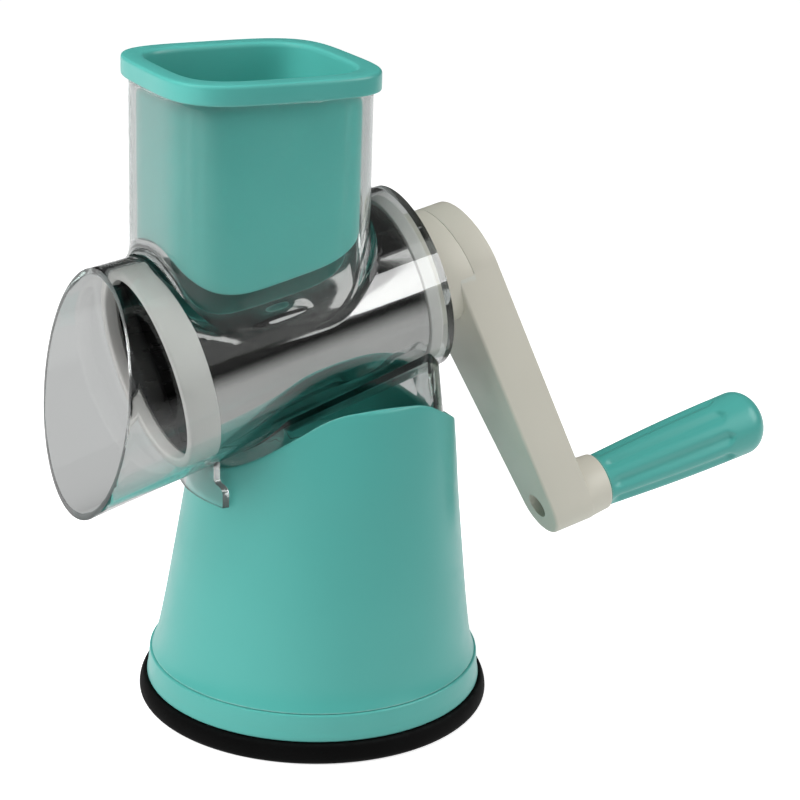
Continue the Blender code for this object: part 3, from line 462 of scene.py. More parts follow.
def makeClear(name):
    # clear moulding: faint waviness and small smudges; lamps shine through it
    made, tree, shader = newMaterial(name)
    shader.inputs["Base Color"].default_value = clearLook["tint"]
    shader.inputs["Transmission Weight"].default_value = 1.0
    shader.inputs["IOR"].default_value = 1.49
    coordinates = tree.nodes.new("ShaderNodeTexCoord")
    smudge = noise(tree, coordinates.outputs["Object"], 60.0, 5.0, 0.65)
    tree.links.new(mapRange(tree, smudge, 0.45, 0.75, 0.0, clearLook["smudge"]), shader.inputs["Roughness"])
    wave = noise(tree, coordinates.outputs["Object"], 45.0, 1.0, 0.4)
    addBump(tree, shader, wave, 0.4, 0.0003)
    path = tree.nodes.new("ShaderNodeLightPath")
    through = tree.nodes.new("ShaderNodeBsdfTransparent")
    through.inputs["Color"].default_value = clearLook["through"]
    either = tree.nodes.new("ShaderNodeMixShader")
    output = tree.nodes["Material Output"]
    # lamps shine straight through, and so does a small share of the other light
    share = math2(tree, "MAXIMUM", path.outputs["Is Shadow Ray"], clearLook["always"])
    # so does a ray that has been bent many times, so that thick edges aren't black
    bent = math2(tree, "GREATER_THAN", path.outputs["Ray Depth"], clearLook["bends"])
    late = math2(tree, "MULTIPLY", bent, clearLook["afterBends"])
    tree.links.new(math2(tree, "MAXIMUM", share, late), either.inputs[0])
    tree.links.new(shader.outputs[0], either.inputs[1])
    tree.links.new(through.outputs[0], either.inputs[2])
    tree.links.new(either.outputs[0], output.inputs["Surface"])
    absorb = tree.nodes.new("ShaderNodeVolumeAbsorption")
    absorb.inputs["Color"].default_value = clearLook["absorbs"]
    absorb.inputs["Density"].default_value = clearLook["density"]
    tree.links.new(absorb.outputs["Volume"], output.inputs["Volume"])
    return made


turquoise = makePlastic("turquoisePlastic", plastics["turquoise"])
whiteRing = makePlastic("whiteRingPlastic", plastics["whiteRing"])
stone = makePlastic("stonePlastic", plastics["stone"])
blackRubber = makePlastic("blackRubber", plastics["blackRubber"])
greyNylon = makePlastic("greyNylon", plastics["greyNylon"])
drumSteel = makeMetal("polishedDrumSteel", metals["drumSteel"])
drumInsidePaintedShade = makeMetal("steelWithPaintedShade", metals["drumInsidePaintedShade"])
zincSteel = makeMetal("zincPlatedSteel", metals["zincSteel"])
clearPlastic = makeClear("clearMoulding")
print("materials ready")

# suction cup: the profile runs from the middle of its upper face over the rim and back under the sole
cup = {
    "rounding": 0.0010,
    "profile": [(0.0020, 0.0045), (0.0612, 0.0045), (0.0622, 0.0079), (0.0664, 0.0079), (0.0676, 0.0053),
                (0.0680, 0.0030), (0.0678, 0.0014), (0.0665, 0), (0.0020, 0)],
}
suctionCup = turnedFrom(cup, "suction_cup_rubber", steps=fineSteps)
finished(suctionCup, "base", blackRubber, ["suction_cup"])

# low ring of the base, with its web and the stem's guide
plate = {
    "rounding": 0.0007,
    "profile": [(0.0639, 0.0184), (0.06444, 0.0115), (0.0651, 0.0082), (0.0618, 0.0082), (0.0613, 0.0110),
                (0.0062, 0.0110), (0.0062, 0.0220), (0.0100, 0.0220), (0.0100, 0.0135), (0.0606, 0.0135),
                (0.0606, 0.0184)],
}
plateRing = turnedFrom(plate, "base_plate_ring", steps=fineSteps, ring=True)
finished(plateRing, "base", turquoise, ["base_plate"])

# base cone with its saddle edge; side is height and radius
cone = {
    "foot": 0.0187, "top": 0.1293, "wall": 0.0026, "lean": 0.035,
    "deckLow": 0.0900, "deckHigh": 0.0930, "deckHole": 0.0120, "holeEdge": 0.0005, "fillet": 0.0004,
    "saddleRadius": 0.0512, "saddleFlare": 0.096, "saddleTilt": math.radians(10.4),
    "rimEdge": 0.0014, "rimFlat": (0.42, 0.58), "evenedOver": 5,
    "steps": 240, "outerRows": 44, "innerRows": 12, "lowerRows": 8,
    "side": [(0.0187, 0.0630), (0.0205, 0.0622), (0.0232, 0.0614), (0.0267, 0.0606), (0.0350, 0.0592),
             (0.0450, 0.0577), (0.0850, 0.0523), (0.1010, 0.0505), (0.1150, 0.0487), (0.1293, 0.0468)],
}
coneRadius = smoothCurve(cone["side"])
coneAngles = [2 * math.pi * i / cone["steps"] for i in range(cone["steps"])]


def conePoint(angle, height, inset):
    radius = coneRadius(height) - inset
    shift = cone["lean"] * (height - cone["foot"])
    return (shift + radius * math.cos(angle), radius * math.sin(angle), height)


def inSaddle(point):
    c, s = math.cos(cone["saddleTilt"]), math.sin(cone["saddleTilt"])
    x, y, z = point[0], point[1], point[2] - axes["height"]
    along = c * x + s * z
    away = math.hypot(y, -s * x + c * z)
    return away < cone["saddleRadius"] + cone["saddleFlare"] * along


def rimHeight(angle, inset):
    # where the saddle cuts the wall, found by halving
    if not inSaddle(conePoint(angle, cone["top"], inset)):
        return cone["top"]
    low, high = cone["deckHigh"], cone["top"]
    for _ in range(22):
        middle = (low + high) / 2
        if inSaddle(conePoint(angle, middle, inset)):
            high = middle
        else:
            low = middle
    return low


def evenRim(inset):
    # the sharp corners of the rim are rounded by averaging over its neighbours
    heights = [rimHeight(a, inset) for a in coneAngles]
    count, reach = len(heights), cone["evenedOver"]
    return [sum(heights[(i + k) % count] for k in range(-reach, reach + 1)) / (2 * reach + 1)
            for i in range(count)]


def coneRows():
    foot, wall, deck, low = cone["foot"], cone["wall"], cone["deckHigh"], cone["deckLow"]
    edge, fillet = cone["rimEdge"], cone["fillet"]
    outerRim, innerRim = evenRim(0), evenRim(wall)
    rows = []
    for k in range(cone["outerRows"] + 1):
        share = k / cone["outerRows"]
        rows.append([conePoint(a, foot + (z - edge - foot) * share, 0) for a, z in zip(coneAngles, outerRim)])
    rims = []
    for a, zo, zi in zip(coneAngles, outerRim, innerRim):
        outer, inner = Vector(conePoint(a, zo, 0)), Vector(conePoint(a, zi, wall))
        start = Vector(conePoint(a, zo - edge, 0))
        end = Vector(conePoint(a, max(zi - edge, deck + fillet / 2), wall))
        near, far = [outer.lerp(inner, share) for share in cone["rimFlat"]]
        rims.append(bend(start, outer, near, 4)[1:] + bend(far, inner, end, 4))
    rows += [list(row) for row in zip(*rims)]
    starts = [max(z, deck + edge + 1.5 * fillet) - edge for z in innerRim]
    for k in range(1, cone["innerRows"] + 1):
        share = k / cone["innerRows"]
        rows.append([conePoint(a, z + (deck + fillet - z) * share, wall) for a, z in zip(coneAngles, starts)])
    # the deck with its hole, then down the inside
    shift = cone["lean"] * (deck - foot)
    side = coneRadius(deck) - wall
    hole, holeEdge = cone["deckHole"], cone["holeEdge"]
    for radius, height in ((side - 2 * fillet, deck), (hole + holeEdge, deck), (hole, deck - holeEdge),
                           (hole, low), (side - fillet, low)):
        rows.append(circle(radius, height, cone["steps"], shift))
    below = low - 1.5 * fillet
    for k in range(cone["lowerRows"] + 1):
        height = below + (foot - below) * k / cone["lowerRows"]
        rows.append([conePoint(a, height, wall) for a in coneAngles])
    return rows


# the boss round the lever's shaft, outside the cone's wall
leverBoss = {
    "bore": 0.0042, "boreLow": 0.0500, "boreHigh": 0.0640, "rounding": 0.0006,
    "profile": [(0.0042, 0.0607), (0.0090, 0.0607), (0.0092, 0.0570), (0.0112, 0.0530), (0.0042, 0.0530)],
}
baseCone = skin("base_cone", coneRows(), ring=True)
drilled(baseCone, leverBoss["bore"], leverBoss["boreLow"], leverBoss["boreHigh"], leverFrame)
finished(baseCone, "base", turquoise, ["base_shell"], angle=50)
sideBoss = turnedFrom(leverBoss, "lever_side_boss", leverFrame, smallSteps, ring=True)
finished(sideBoss, "base", turquoise)
print("base built")

# clear housing: barrel, chute, skirt and lug in one moulding
housing = {
    "radius": 0.0376, "wall": 0.0022, "rear": 0.0370, "spoutCut": -0.0950, "spoutSlope": 0.39, "edge": 0.0006,
    "hollowFront": -0.1300, "hollowHeight": 0.1025, "bushHole": 0.0100, "bushLow": 0.0300, "bushHigh": 0.0400,
    "chuteAt": -0.0294, "chuteLength": 0.0386, "chuteWidth": 0.0373, "chuteWall": 0.0024, "chuteTop": 0.2425,
    "chuteRoot": 0.1500, "footHalf": 0.0362, "flare": 0.0052, "flareHeight": 0.0085, "flareShare": 0.55,
    "skirtFoot": 0.0475, "skirtTop": 0.0403, "skirtLow": 0.0933, "skirtHigh": 0.1500, "skirtWall": 0.0022,
    "skirtHalf": 0.0310, "skirtShift": 0.00323, "skirtSteps": 120, "overlap": 0.0003,
}


def barrelRadius(along, inset=0.0):
    return housing["radius"] - barrelTaper * along - inset


def barrelRows(low, high, inset, count, spout=False):
    # low may lie on the slanted spout plane, which is longer at the bottom
    rows = []
    for k in range(count + 1):
        row = []
        for i in range(roundSteps):
            angle = 2 * math.pi * (i + 0.5) / roundSteps
            start = low
            if spout:
                start = housing["spoutCut"]
                for _ in range(6):
                    reach = barrelRadius(start, inset) * math.cos(angle)
                    start = housing["spoutCut"] - housing["spoutSlope"] * reach
            along = start + (high - start) * k / count
            radius = barrelRadius(along, inset)
            row.append((radius * math.cos(angle), radius * math.sin(angle), along))
        rows.append(row)
    return rows


def barrelTopAt(x, y, inset=0.0):
    # height of the barrel's upper side above a point of the floor, or None beside it
    c, s = math.cos(axes["tilt"]), math.sin(axes["tilt"])
    z = axes["height"] + housing["radius"]
    for _ in range(12):
        along = c * x + s * (z - axes["height"])
        left = barrelRadius(along, inset) ** 2 - y * y
        if left <= 0:
            return None
        z = axes["height"] + (math.sqrt(left) + s * x) / c
    return z


def chuteRows():
    # the chute's sides end in a flare that lands on the barrel
    outline = roundedSquare(housing["chuteLength"], housing["chuteWidth"])
    top, columns = housing["chuteTop"], []
    for i, (x, y) in enumerate(outline):
        (xa, ya), (xb, yb) = outline[i - 1], outline[(i + 1) % len(outline)]
        outwards = Vector((yb - ya, xa - xb)).normalized()
        x += housing["chuteAt"]
        foot = barrelTopAt(x, min(max(y, -housing["footHalf"]), housing["footHalf"]))
        room = (barrelRadius(x) - abs(y)) / max(abs(outwards.y), 0.05)
        flare = min(housing["flare"], max(room, 0.0) * housing["flareShare"])
        landed = foot
        if flare > 0.0003:
            landed = barrelTopAt(x + outwards.x * flare, y + outwards.y * flare)
            if landed is None:
                flare, landed = 0.0, foot
        high = foot + housing["flareHeight"]
        column = [(x, y, top + (high - top) * k / 14) for k in range(15)]
        corner = Vector((x, y, foot - 0.0004))
        end = Vector((x + outwards.x * flare, y + outwards.y * flare, landed - 0.0005))
        column += bend(Vector((x, y, high)), corner, end, 8)[1:]
        column.append((x, y, housing["chuteRoot"]))
        columns.append(column)
    return [list(row) for row in zip(*columns)]


def skirtRows(inset, low, high, count=16):
    # a cone with two flat sides that narrows upwards
    narrowing = (housing["skirtFoot"] - housing["skirtTop"]) / (housing["skirtHigh"] - housing["skirtLow"])
    half, steps = housing["skirtHalf"] - inset, housing["skirtSteps"]
    rows = []
    for k in range(count + 1):
        z = low + (high - low) * k / count
        radius = housing["skirtFoot"] - narrowing * (z - housing["skirtLow"]) - inset
        row = []
        for i in range(steps):
            angle = 2 * math.pi * (i + 0.37) / steps  # starts beside the flat sides' edges
            x, y = radius * math.cos(angle), radius * math.sin(angle)
            row.append((housing["skirtShift"] + x, min(max(y, -half), half), z))
        rows.append(row)
    return rows


clearHousing = skin("clear_housing_moulding", barrelRows(0, housing["rear"], 0, 44, spout=True), True, True,
                    place=headFrame)
merged(clearHousing, skin("chute", chuteRows(), True, True))
skirt = skin("skirt", skirtRows(0, housing["skirtLow"], housing["skirtHigh"]), True, True)
merged(skirt, prism("skirtEnd", squareOutline(0.1), housing["rear"] - housing["overlap"], 0.1, headFrame),
       "DIFFERENCE")
merged(clearHousing, skirt)

# the lug under the spout is the part of a sleeve that lies behind an outline of height and place across
lugShape = {
    "sleeve": [(0.0554, 0.1293), (0.0554, 0.0903), (0.0530, 0.0903), (0.0530, 0.1293)], "shift": 0.00261,
    "outline": [(0.0880, -0.0215), (0.0977, -0.0215), (0.0992, -0.0170), (0.1310, -0.0170),
                (0.1310, 0.0170), (0.0992, 0.0170), (0.0977, 0.0215), (0.0880, 0.0215)],
    "rounding": [0, 0.0022, 0.0016, 0, 0, 0.0016, 0.0022, 0], "near": 0.0200, "far": 0.0750,
}
lug = turned("lug", lugShape["sleeve"], Matrix.Translation((lugShape["shift"], 0, 0)), ring=True)
lugOutline = softened(lugShape["outline"], lugShape["rounding"], closed=True)
merged(lug, prism("lugOutline", lugOutline, lugShape["near"], lugShape["far"],
                  Matrix.Rotation(-math.pi / 2, 4, "Y")), "INTERSECT")
merged(clearHousing, lug)

hollow = skin("barrelHollow", barrelRows(housing["hollowFront"], housing["rear"] - housing["wall"],
                                         housing["wall"], 50), True, True, place=headFrame)
chuteIn = [(x + housing["chuteAt"], y) for x, y in roundedSquare(housing["chuteLength"] - housing["chuteWall"],
                                                                 housing["chuteWidth"] - housing["chuteWall"])]
merged(hollow, skin("chuteHollow", [[(x, y, housing["chuteRoot"] + housing["hollowHeight"] * k / 24)
                                     for x, y in chuteIn] for k in range(25)], True, True))
merged(clearHousing, hollow, "DIFFERENCE")
skirtIn = skin("skirtHollow", skirtRows(housing["skirtWall"], housing["skirtLow"] - 0.005,
                                        housing["skirtHigh"]), True, True)
barrelAround = skin("barrelAround", barrelRows(housing["hollowFront"], housing["rear"] + 0.01,
                                               -housing["overlap"], 50), True, True, place=headFrame)
merged(skirtIn, barrelAround, "DIFFERENCE")
merged(clearHousing, skirtIn, "DIFFERENCE")
drilled(clearHousing, housing["bushHole"], housing["bushLow"], housing["bushHigh"], headFrame)
headInverse = headFrame.inverted()


def onSpoutRim(point):
    local = headInverse @ point
    return abs(local.z - housing["spoutCut"] + housing["spoutSlope"] * local.x) < 0.00002


def onChuteRim(point):
    return abs(point.z - housing["chuteTop"]) < 0.00001


softCount = softenEdges(clearHousing, onSpoutRim, housing["edge"])
softCount += softenEdges(clearHousing, onChuteRim, housing["edge"])
finished(clearHousing, "base", clearPlastic, ["clear_housing"], angle=30)
print("clear housing built:", len(clearHousing.data.polygons), "faces,", softCount, "softened edges")

# food pusher: a cup with an arched underside and a rim that rests on the chute
pusher = {
    "length": 0.0354, "width": 0.0341, "rimLength": 0.0407, "rimWidth": 0.0406, "wall": 0.0022,
    "rimLow": 0.2428, "rimTop": 0.2500, "rimEdges": [0, 0.0008, 0.0009, 0.0016, 0.0022, 0],
    "neck": 0.0008, "lipDepth": 0.0060, "arch": 0.0441, "floor": 0.0025, "soft": 0.0017, "floorSoft": 0.0030,
}


def archHeight(x, y, radius):
    c, s = math.cos(axes["tilt"]), math.sin(axes["tilt"])
    return axes["height"] + (math.sqrt(radius * radius - y * y) + s * x) / c


def pusherRow(length, width, height):
    # height is a number, or a function of x and y
    row = []
    for x, y in roundedSquare(length, width):
        x += housing["chuteAt"]
        row.append((x, y, height(x, y) if callable(height) else height))
    return row


def pusherRows():
    p = pusher
    under = lambda x, y: archHeight(x, y, p["arch"])
    floor = lambda x, y: archHeight(x, y, p["arch"] + p["floor"])
    rows = [pusherRow(p["length"] * f, p["width"] * f, under) for f in (0.03, 0.2, 0.4, 0.6, 0.75, 0.87, 0.93)]
    for k in range(1, 6):
        t = math.pi / 2 * k / 5
        inset, lift = p["soft"] * (1 - math.sin(t)), p["soft"] * (1 - math.cos(t))
        rows.append(pusherRow(p["length"] - inset, p["width"] - inset, lambda x, y: under(x, y) + lift))
    for k in range(1, 13):
        f = k / 12
        rows.append(pusherRow(p["length"], p["width"], lambda x, y: (under(x, y) + p["soft"]) * (1 - f)
                              + (p["rimLow"] - p["neck"]) * f))
    inLength, inWidth = p["length"] - p["wall"], p["width"] - p["wall"]
    body, rim, mouth = (p["length"], p["width"]), (p["rimLength"], p["rimWidth"]), (inLength, inWidth)
    line = [(*body, p["rimLow"] - p["neck"]), (*body, p["rimLow"]), (*rim, p["rimLow"]), (*rim, p["rimTop"]),
            (*mouth, p["rimTop"]), (*mouth, p["rimTop"] - p["lipDepth"])]
    rows += [pusherRow(a, b, z) for a, b, z in softened(line, p["rimEdges"], 5)[1:]]
    for k in range(1, 11):
        f = k / 10
        rows.append(pusherRow(inLength, inWidth, lambda x, y: (p["rimTop"] - p["lipDepth"]) * (1 - f)
                              + (floor(x, y) + p["floorSoft"]) * f))
    for k in range(1, 6):
        t = math.pi / 2 * k / 5
        inset, lift = p["floorSoft"] * (1 - math.cos(t)), p["floorSoft"] * (1 - math.sin(t))
        rows.append(pusherRow(inLength - inset, inWidth - inset, lambda x, y: floor(x, y) + lift))
    rows += [pusherRow(inLength * f, inWidth * f, floor) for f in (0.82, 0.6, 0.4, 0.2, 0.03)]
    return rows


foodPusher = skin("food_pusher_cup", pusherRows(), True, True)
finished(foodPusher, "pusher", turquoise, ["food_pusher"], angle=60)
print("pusher built")

# steel drum; places along it are measured from the barrel's middle towards the crank
drum = {
    "front": -0.0660, "rear": 0.0284, "radius": 0.0364, "wall": 0.0008, "columns": 360, "rows": 126,
    "slots": 6, "slotTurn": math.radians(-56.0), "slotLength": 0.0230, "slotWidth": 0.0034,
    "slotFront": -0.0400, "stagger": 0.0290, "eyeReach": 0.0052, "eyeEnd": 0.12,
    "lift": 0.0012, "reach": 0.0060, "dip": 0.35, "dipReach": 0.0040,
}


def steelRadius(along):
    return drum["radius"] - barrelTaper * (along - drum["front"])


def nearestSlot(angle, along):
    # how far round and how far along a place is from the slot beside it, in metres and in half lengths
    best = None
    for i in range(drum["slots"]):
        middle = drum["slotTurn"] + 2 * math.pi * i / drum["slots"]
        start = drum["slotFront"] + drum["stagger"] * ((i + 1) % 2)
        centre = start + drum["slotLength"] / 2
        away = ((angle - middle + math.pi) % (2 * math.pi) - math.pi) * steelRadius(centre)
        t = (along - centre) / (drum["slotLength"] / 2)
        if abs(t) < 1.35 and abs(away) < 0.012 and (best is None or abs(away) < abs(best[0])):
            best = (away, t)
    return best


def hump(distance, reach):
    return (math.cos(math.pi * distance / reach) + 1) / 2


def pressed(angle, along):
    # where a place of the plain steel lies after pressing, and whether it is cut out
    radius, near = steelRadius(along), nearestSlot(angle, along)
    if near is None:
        return angle, radius, False
    away, t = near
    half, reach = drum["slotWidth"] / 2, drum["eyeReach"]
    if abs(away) < reach:
        # the opening narrows to its two ends like an eye
        width = math.sqrt(1 - t * t) if abs(t) < 1 else (abs(t) - 1) / 0.35
        squeeze = drum["eyeEnd"] + (1 - drum["eyeEnd"]) * width
        blend = 1 - (abs(away) - half) / (reach - half) if abs(away) > half else 1.0
        angle += (away * squeeze - away) * blend / radius
    rise = drum["lift"] * max(0.0, 1 - (t / 1.15) ** 2) ** 1.2
    if -drum["reach"] < away <= 0:
        radius += rise * hump(away, drum["reach"])  # the pressed lip stands up towards the opening
    if 0 < away < drum["dipReach"]:
        radius -= rise * drum["dip"] * hump(away, drum["dipReach"])
    return angle, radius, abs(away) < half and abs(t) < 1.0


def drumMesh():
    mesh = bpy.data.meshes.new("drum_steel")
    shape = bmesh.new()
    columns, rows = drum["columns"], drum["rows"]
    grid, cutOut = [], {}
    for k in range(rows + 1):
        along = drum["front"] + (drum["rear"] - drum["front"]) * k / rows
        line = []
        for i in range(columns):
            angle, radius, cutOut[k, i] = pressed(2 * math.pi * i / columns, along)
            line.append(shape.verts.new((radius * math.cos(angle), radius * math.sin(angle), along)))
        grid.append(line)
    for k in range(rows):
        for i in range(columns):
            j = (i + 1) % columns
            if not all(cutOut[spot] for spot in ((k, i), (k, j), (k + 1, j), (k + 1, i))):
                shape.faces.new((grid[k][i], grid[k][j], grid[k + 1][j], grid[k + 1][i]))
    loose = [v for v in shape.verts if not v.link_faces]
    bmesh.ops.delete(shape, geom=loose, context="VERTS")
    shape.to_mesh(mesh)
    shape.free()
    return mesh


drumShell = bpy.data.objects.new("drum_steel", drumMesh())
bpy.context.scene.collection.objects.link(drumShell)
drumShell.data.transform(headFrame)
drumShell.data.materials.append(drumSteel)
drumShell.data.materials.append(drumInsidePaintedShade)
thick = drumShell.modifiers.new("thickness", "SOLIDIFY")
thick.thickness = drum["wall"]
thick.offset = -1.0
# the drum's inner faces take the near-black steel: painted shade inside the drum
thick.material_offset = 1
applied(drumShell, thick)
drumShell.data.shade_smooth()
drumShell.data.set_sharp_from_angle(angle=math.radians(40))
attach(drumShell, "crank")
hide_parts("drum_shell")

# the drum's pale front ring, and its hub with a spigot inside the steel
frontShape = {
    "profile": [(0.0376, -0.0602), (0.0379, -0.0722), (0.0341, -0.0722), (0.0341, -0.0670), (0.0366, -0.0666),
                (0.0366, -0.0602)],
    "rounding": [0.0005, 0.0012, 0.0012, 0.0008, 0.0002, 0.0003],
}
frontRing = turnedFrom(frontShape, "drum_front_ring_moulding", headFrame, fineSteps, ring=True)
finished(frontRing, "crank", whiteRing, ["drum_front_ring"])

spigot = steelRadius(drum["rear"]) - drum["wall"] - 0.0003
hubShape = {
    "rounding": 0.0004,
    "profile": [(0.0052, 0.0340), (0.0319, 0.0340), (0.0327, 0.0332), (0.0327, 0.0287), (spigot, 0.0287),
                (spigot, 0.0227), (spigot - 0.0022, 0.0227), (spigot - 0.0022, 0.0310), (0.0110, 0.0310),
                (0.0110, 0.0160), (0.0052, 0.0160)],
}
drumHub = turnedFrom(hubShape, "drum_hub_moulding", headFrame, ring=True)
finished(drumHub, "crank", whiteRing, ["drum_hub"])
print("drum built")

# crank arm and collar; heights are along the crank's axis from the barrel's middle
crank = {
    "head": 0.0222, "end": 0.0125, "inner": 0.0467, "thickness": 0.018306, "edge": 0.0012,
    "seam": 0.0540, "seamEdge": 0.0003, "seatGap": 0.00005, "seatLow": 0.0200,
    "collarFront": 0.0392, "collarReach": 0.0140, "collarHole": 0.0071, "collarHoleLow": 0.0500,
    "socketHalf": 0.0058, "socketLow": 0.0388, "socketHigh": 0.0517,
    "capHole": 0.0070, "capHoleLow": 0.0576, "capHoleHigh": 0.0776,
    "spindleHole": 0.0033, "spindleSeat": 0.0051, "seatDepth": 0.0062, "spindleEnd": 0.0968,
}
gripBoss = {
    "profile": [(0.0020, 0.0948), (0.0116, 0.0948), (0.0120, 0.0895), (0.0125, 0.0850), (0.0125, 0.0740),
                (0.0020, 0.0740)],
    "rounding": [0, 0.0006, 0, 0.003, 0, 0],
}
cap = {"rounding": 0.0006,
       "profile": [(0.0020, 0.0616), (0.0067, 0.0616), (0.0067, 0.0638), (0.0050, 0.0646), (0.0010, 0.0646)]}
slant = math.tan(axes["crankLean"])
# the shear leans the arm's faces and leaves its sides along the crank's axis
armShear = Matrix(((1, 0, 0, 0), (0, 1, 0, 0), (slant, 0, 1, 0), (0, 0, 0, 1)))
armFrame = crankFrame @ armShear
armInverse = armFrame.inverted()


def between(start, end, count):
    # the points that divide a straight line in equal lengths, without its ends
    return [tuple(a + (b - a) * k / count for a, b in zip(start, end)) for k in range(1, count)]


def taperedBar(rootRadius, tipRadius, length, count):
    # outline of a bar with a round root at the middle and a smaller round tip
    lean = math.asin((rootRadius - tipRadius) / length)
    root, tip = [], []
    for i in range(count + 1):
        angle = math.pi / 2 - lean + (math.pi + 2 * lean) * i / count
        root.append((rootRadius * math.cos(angle), rootRadius * math.sin(angle)))
        angle = -math.pi / 2 + lean + (math.pi - 2 * lean) * i / count
        tip.append((length + tipRadius * math.cos(angle), tipRadius * math.sin(angle)))
    return root + between(root[-1], tip[0], 20) + tip + between(tip[-1], root[0], 20)


def roundedSlab(outline, low, high, edge, steps=5):
    # rows of an upright slab with rounded upper and lower edges; outline(inset) gives its shape
    rows = []
    for k in range(steps + 1):
        t = math.pi / 2 * k / steps
        rows.append([(x, y, low + edge * (1 - math.cos(t))) for x, y in outline(edge * (1 - math.sin(t)))])
    return rows + [[(x, y, low + high - z) for x, y, z in row] for row in rows[::-1]]


def armOutline(inset):
    return taperedBar(crank["head"] - inset, crank["end"] - inset, gripReach, 48)


def onSeam(point):
    local = armInverse @ point
    return abs(local.z - crank["seam"]) < 0.0001 and math.hypot(local.x, local.y) > crank["head"] - 0.001


def withSocket(piece):
    # cuts the square hole for the drive shaft's head
    return merged(piece, prism("headSocket", squareOutline(crank["socketHalf"]), crank["socketLow"],
                               crank["socketHigh"], crankFrame), "DIFFERENCE")


armRows = roundedSlab(armOutline, crank["inner"], crank["inner"] + crank["thickness"], crank["edge"])
crankArm = skin("crank_arm_moulding", armRows, True, True, place=armFrame)
merged(crankArm, turnedFrom(gripBoss, "gripBoss", gripFrame, 96))
gap = crank["seatGap"]
drilled(crankArm, crank["head"] + gap, crank["seatLow"], crank["seam"] + gap, armFrame, roundSteps)
withSocket(crankArm)
drilled(crankArm, crank["capHole"], crank["capHoleLow"], crank["capHoleHigh"], crankFrame, holeSteps)
armEndInner = crank["inner"] + axes["crankLength"] * math.sin(axes["crankLean"])
for radius, high in ((crank["spindleHole"], crank["spindleEnd"]),
                     (crank["spindleSeat"], armEndInner + crank["seatDepth"])):
    drilled(crankArm, radius, armEndInner - 0.02, high, gripFrame, holeSteps)
softenEdges(crankArm, onSeam, crank["seamEdge"], 2)
finished(crankArm, "crank", stone, ["crank_arm"], angle=38)

collar = turned("crank_collar_moulding", [
    (crank["head"] - 0.0010, crank["collarFront"]), (crank["head"] - 0.0003, crank["collarFront"] + 0.0003),
    (crank["head"], crank["collarFront"] + 0.0010), (crank["head"], crank["seam"] + crank["collarReach"]),
], crankFrame)
merged(collar, prism("collarCut", squareOutline(0.06), crank["seam"], crank["seam"] + 0.06, armFrame),
       "DIFFERENCE")
softenEdges(collar, onSeam, crank["seamEdge"], 2)
withSocket(collar)
drilled(collar, crank["collarHole"], crank["collarHoleLow"], crank["capHoleHigh"], crankFrame, holeSteps)
finished(collar, "crank", stone, ["crank_collar"], angle=38)

hubCap = turnedFrom(cap, "hub_cap_moulding", crankFrame, smallSteps)
finished(hubCap, "crank", stone, ["hub_cap"])

# grip with shallow flutes; side is a share of its length and a radius
grip = {
    "low": 0.0951, "length": 0.07798, "dome": 0.0100, "bore": 0.00305, "boreEnd": 0.0140, "steps": 160,
    "side": [(0.0, 0.0107), (0.35, 0.01226), (0.60, 0.012988), (0.86, 0.0133), (1.0, 0.0133)],
    "edge": 0.0005, "flutes": 8, "fluteDepth": 0.0016, "fluteStart": 0.06, "fluteEnd": 0.71, "scallop": 0.05,
}
gripCurve = smoothCurve(grip["side"])


def gripRow(share, radius):
    row, steps = [], grip["steps"]
    for i in range(steps):
        angle = 2 * math.pi * i / steps
        wave = math.cos(angle * grip["flutes"]) * 0.5 + 0.5
        # each flute ends in a scallop: the middle of it reaches further than its sides
        reach = min(max((grip["fluteEnd"] + grip["scallop"] * wave - share) / 0.02, 0.0), 1.0)
        r = radius - grip["fluteDepth"] * wave ** 1.5 * reach * min(share / grip["fluteStart"], 1.0)
        row.append((r * math.cos(angle), r * math.sin(angle), grip["low"] + grip["length"] * share))
    return row


def gripRows():
    # up the bore, out over the foot, up the side and over the dome
    boreTop = grip["low"] + grip["length"] - grip["boreEnd"]
    rows = [circle(grip["bore"], height, grip["steps"]) for height in (boreTop, grip["low"])]
    rows.append(gripRow(0.0, grip["side"][0][1] - grip["edge"]))
    domeStart = 1 - grip["dome"] / grip["length"]
    for k in range(89):
        share = 0.006 + (domeStart - 0.006) * k / 88
        rows.append(gripRow(share, gripCurve(share)))
    for k in range(1, 15):
        t = math.pi / 2 * k / 15
        rows.append(gripRow(domeStart + (1 - domeStart) * math.sin(t), grip["side"][-1][1] * math.cos(t)))
    return rows


gripPiece = skin("grip_moulding", gripRows(), True, True, place=gripFrame)
finished(gripPiece, "grip", turquoise, ["grip"], angle=38)
print("crank and grip built")

# suction lever at the back
lever = {
    "profile": [(0.0040, 0.0611), (0.0110, 0.0611), (0.0110, 0.0701), (0.0040, 0.0701)], "rounding": 0.0012,
    "length": 0.0360, "root": 0.0080, "tip": 0.0062, "bladeLow": 0.0621, "thickness": 0.0066, "edge": 0.0014,
    "clear": 0.0041, "clearLow": 0.0601, "clearHigh": 0.0711,
}


def leverOutline(inset):
    return taperedBar(lever["root"] - inset, lever["tip"] - inset, lever["length"], 24)


leverHub = turnedFrom(lever, "suction_lever_moulding", leverFrame, 96, ring=True)
bladePlace = leverFrame @ Matrix.Rotation(-math.pi / 2, 4, "Z") @ Matrix.Translation((0, 0, lever["bladeLow"]))
blade = skin("leverBlade", roundedSlab(leverOutline, 0, lever["thickness"], lever["edge"], 4), True, True,
             place=bladePlace)
drilled(blade, lever["clear"], lever["clearLow"], lever["clearHigh"], leverFrame)
merged(leverHub, blade)
finished(leverHub, "lever", turquoise, ["suction_lever"], angle=38)

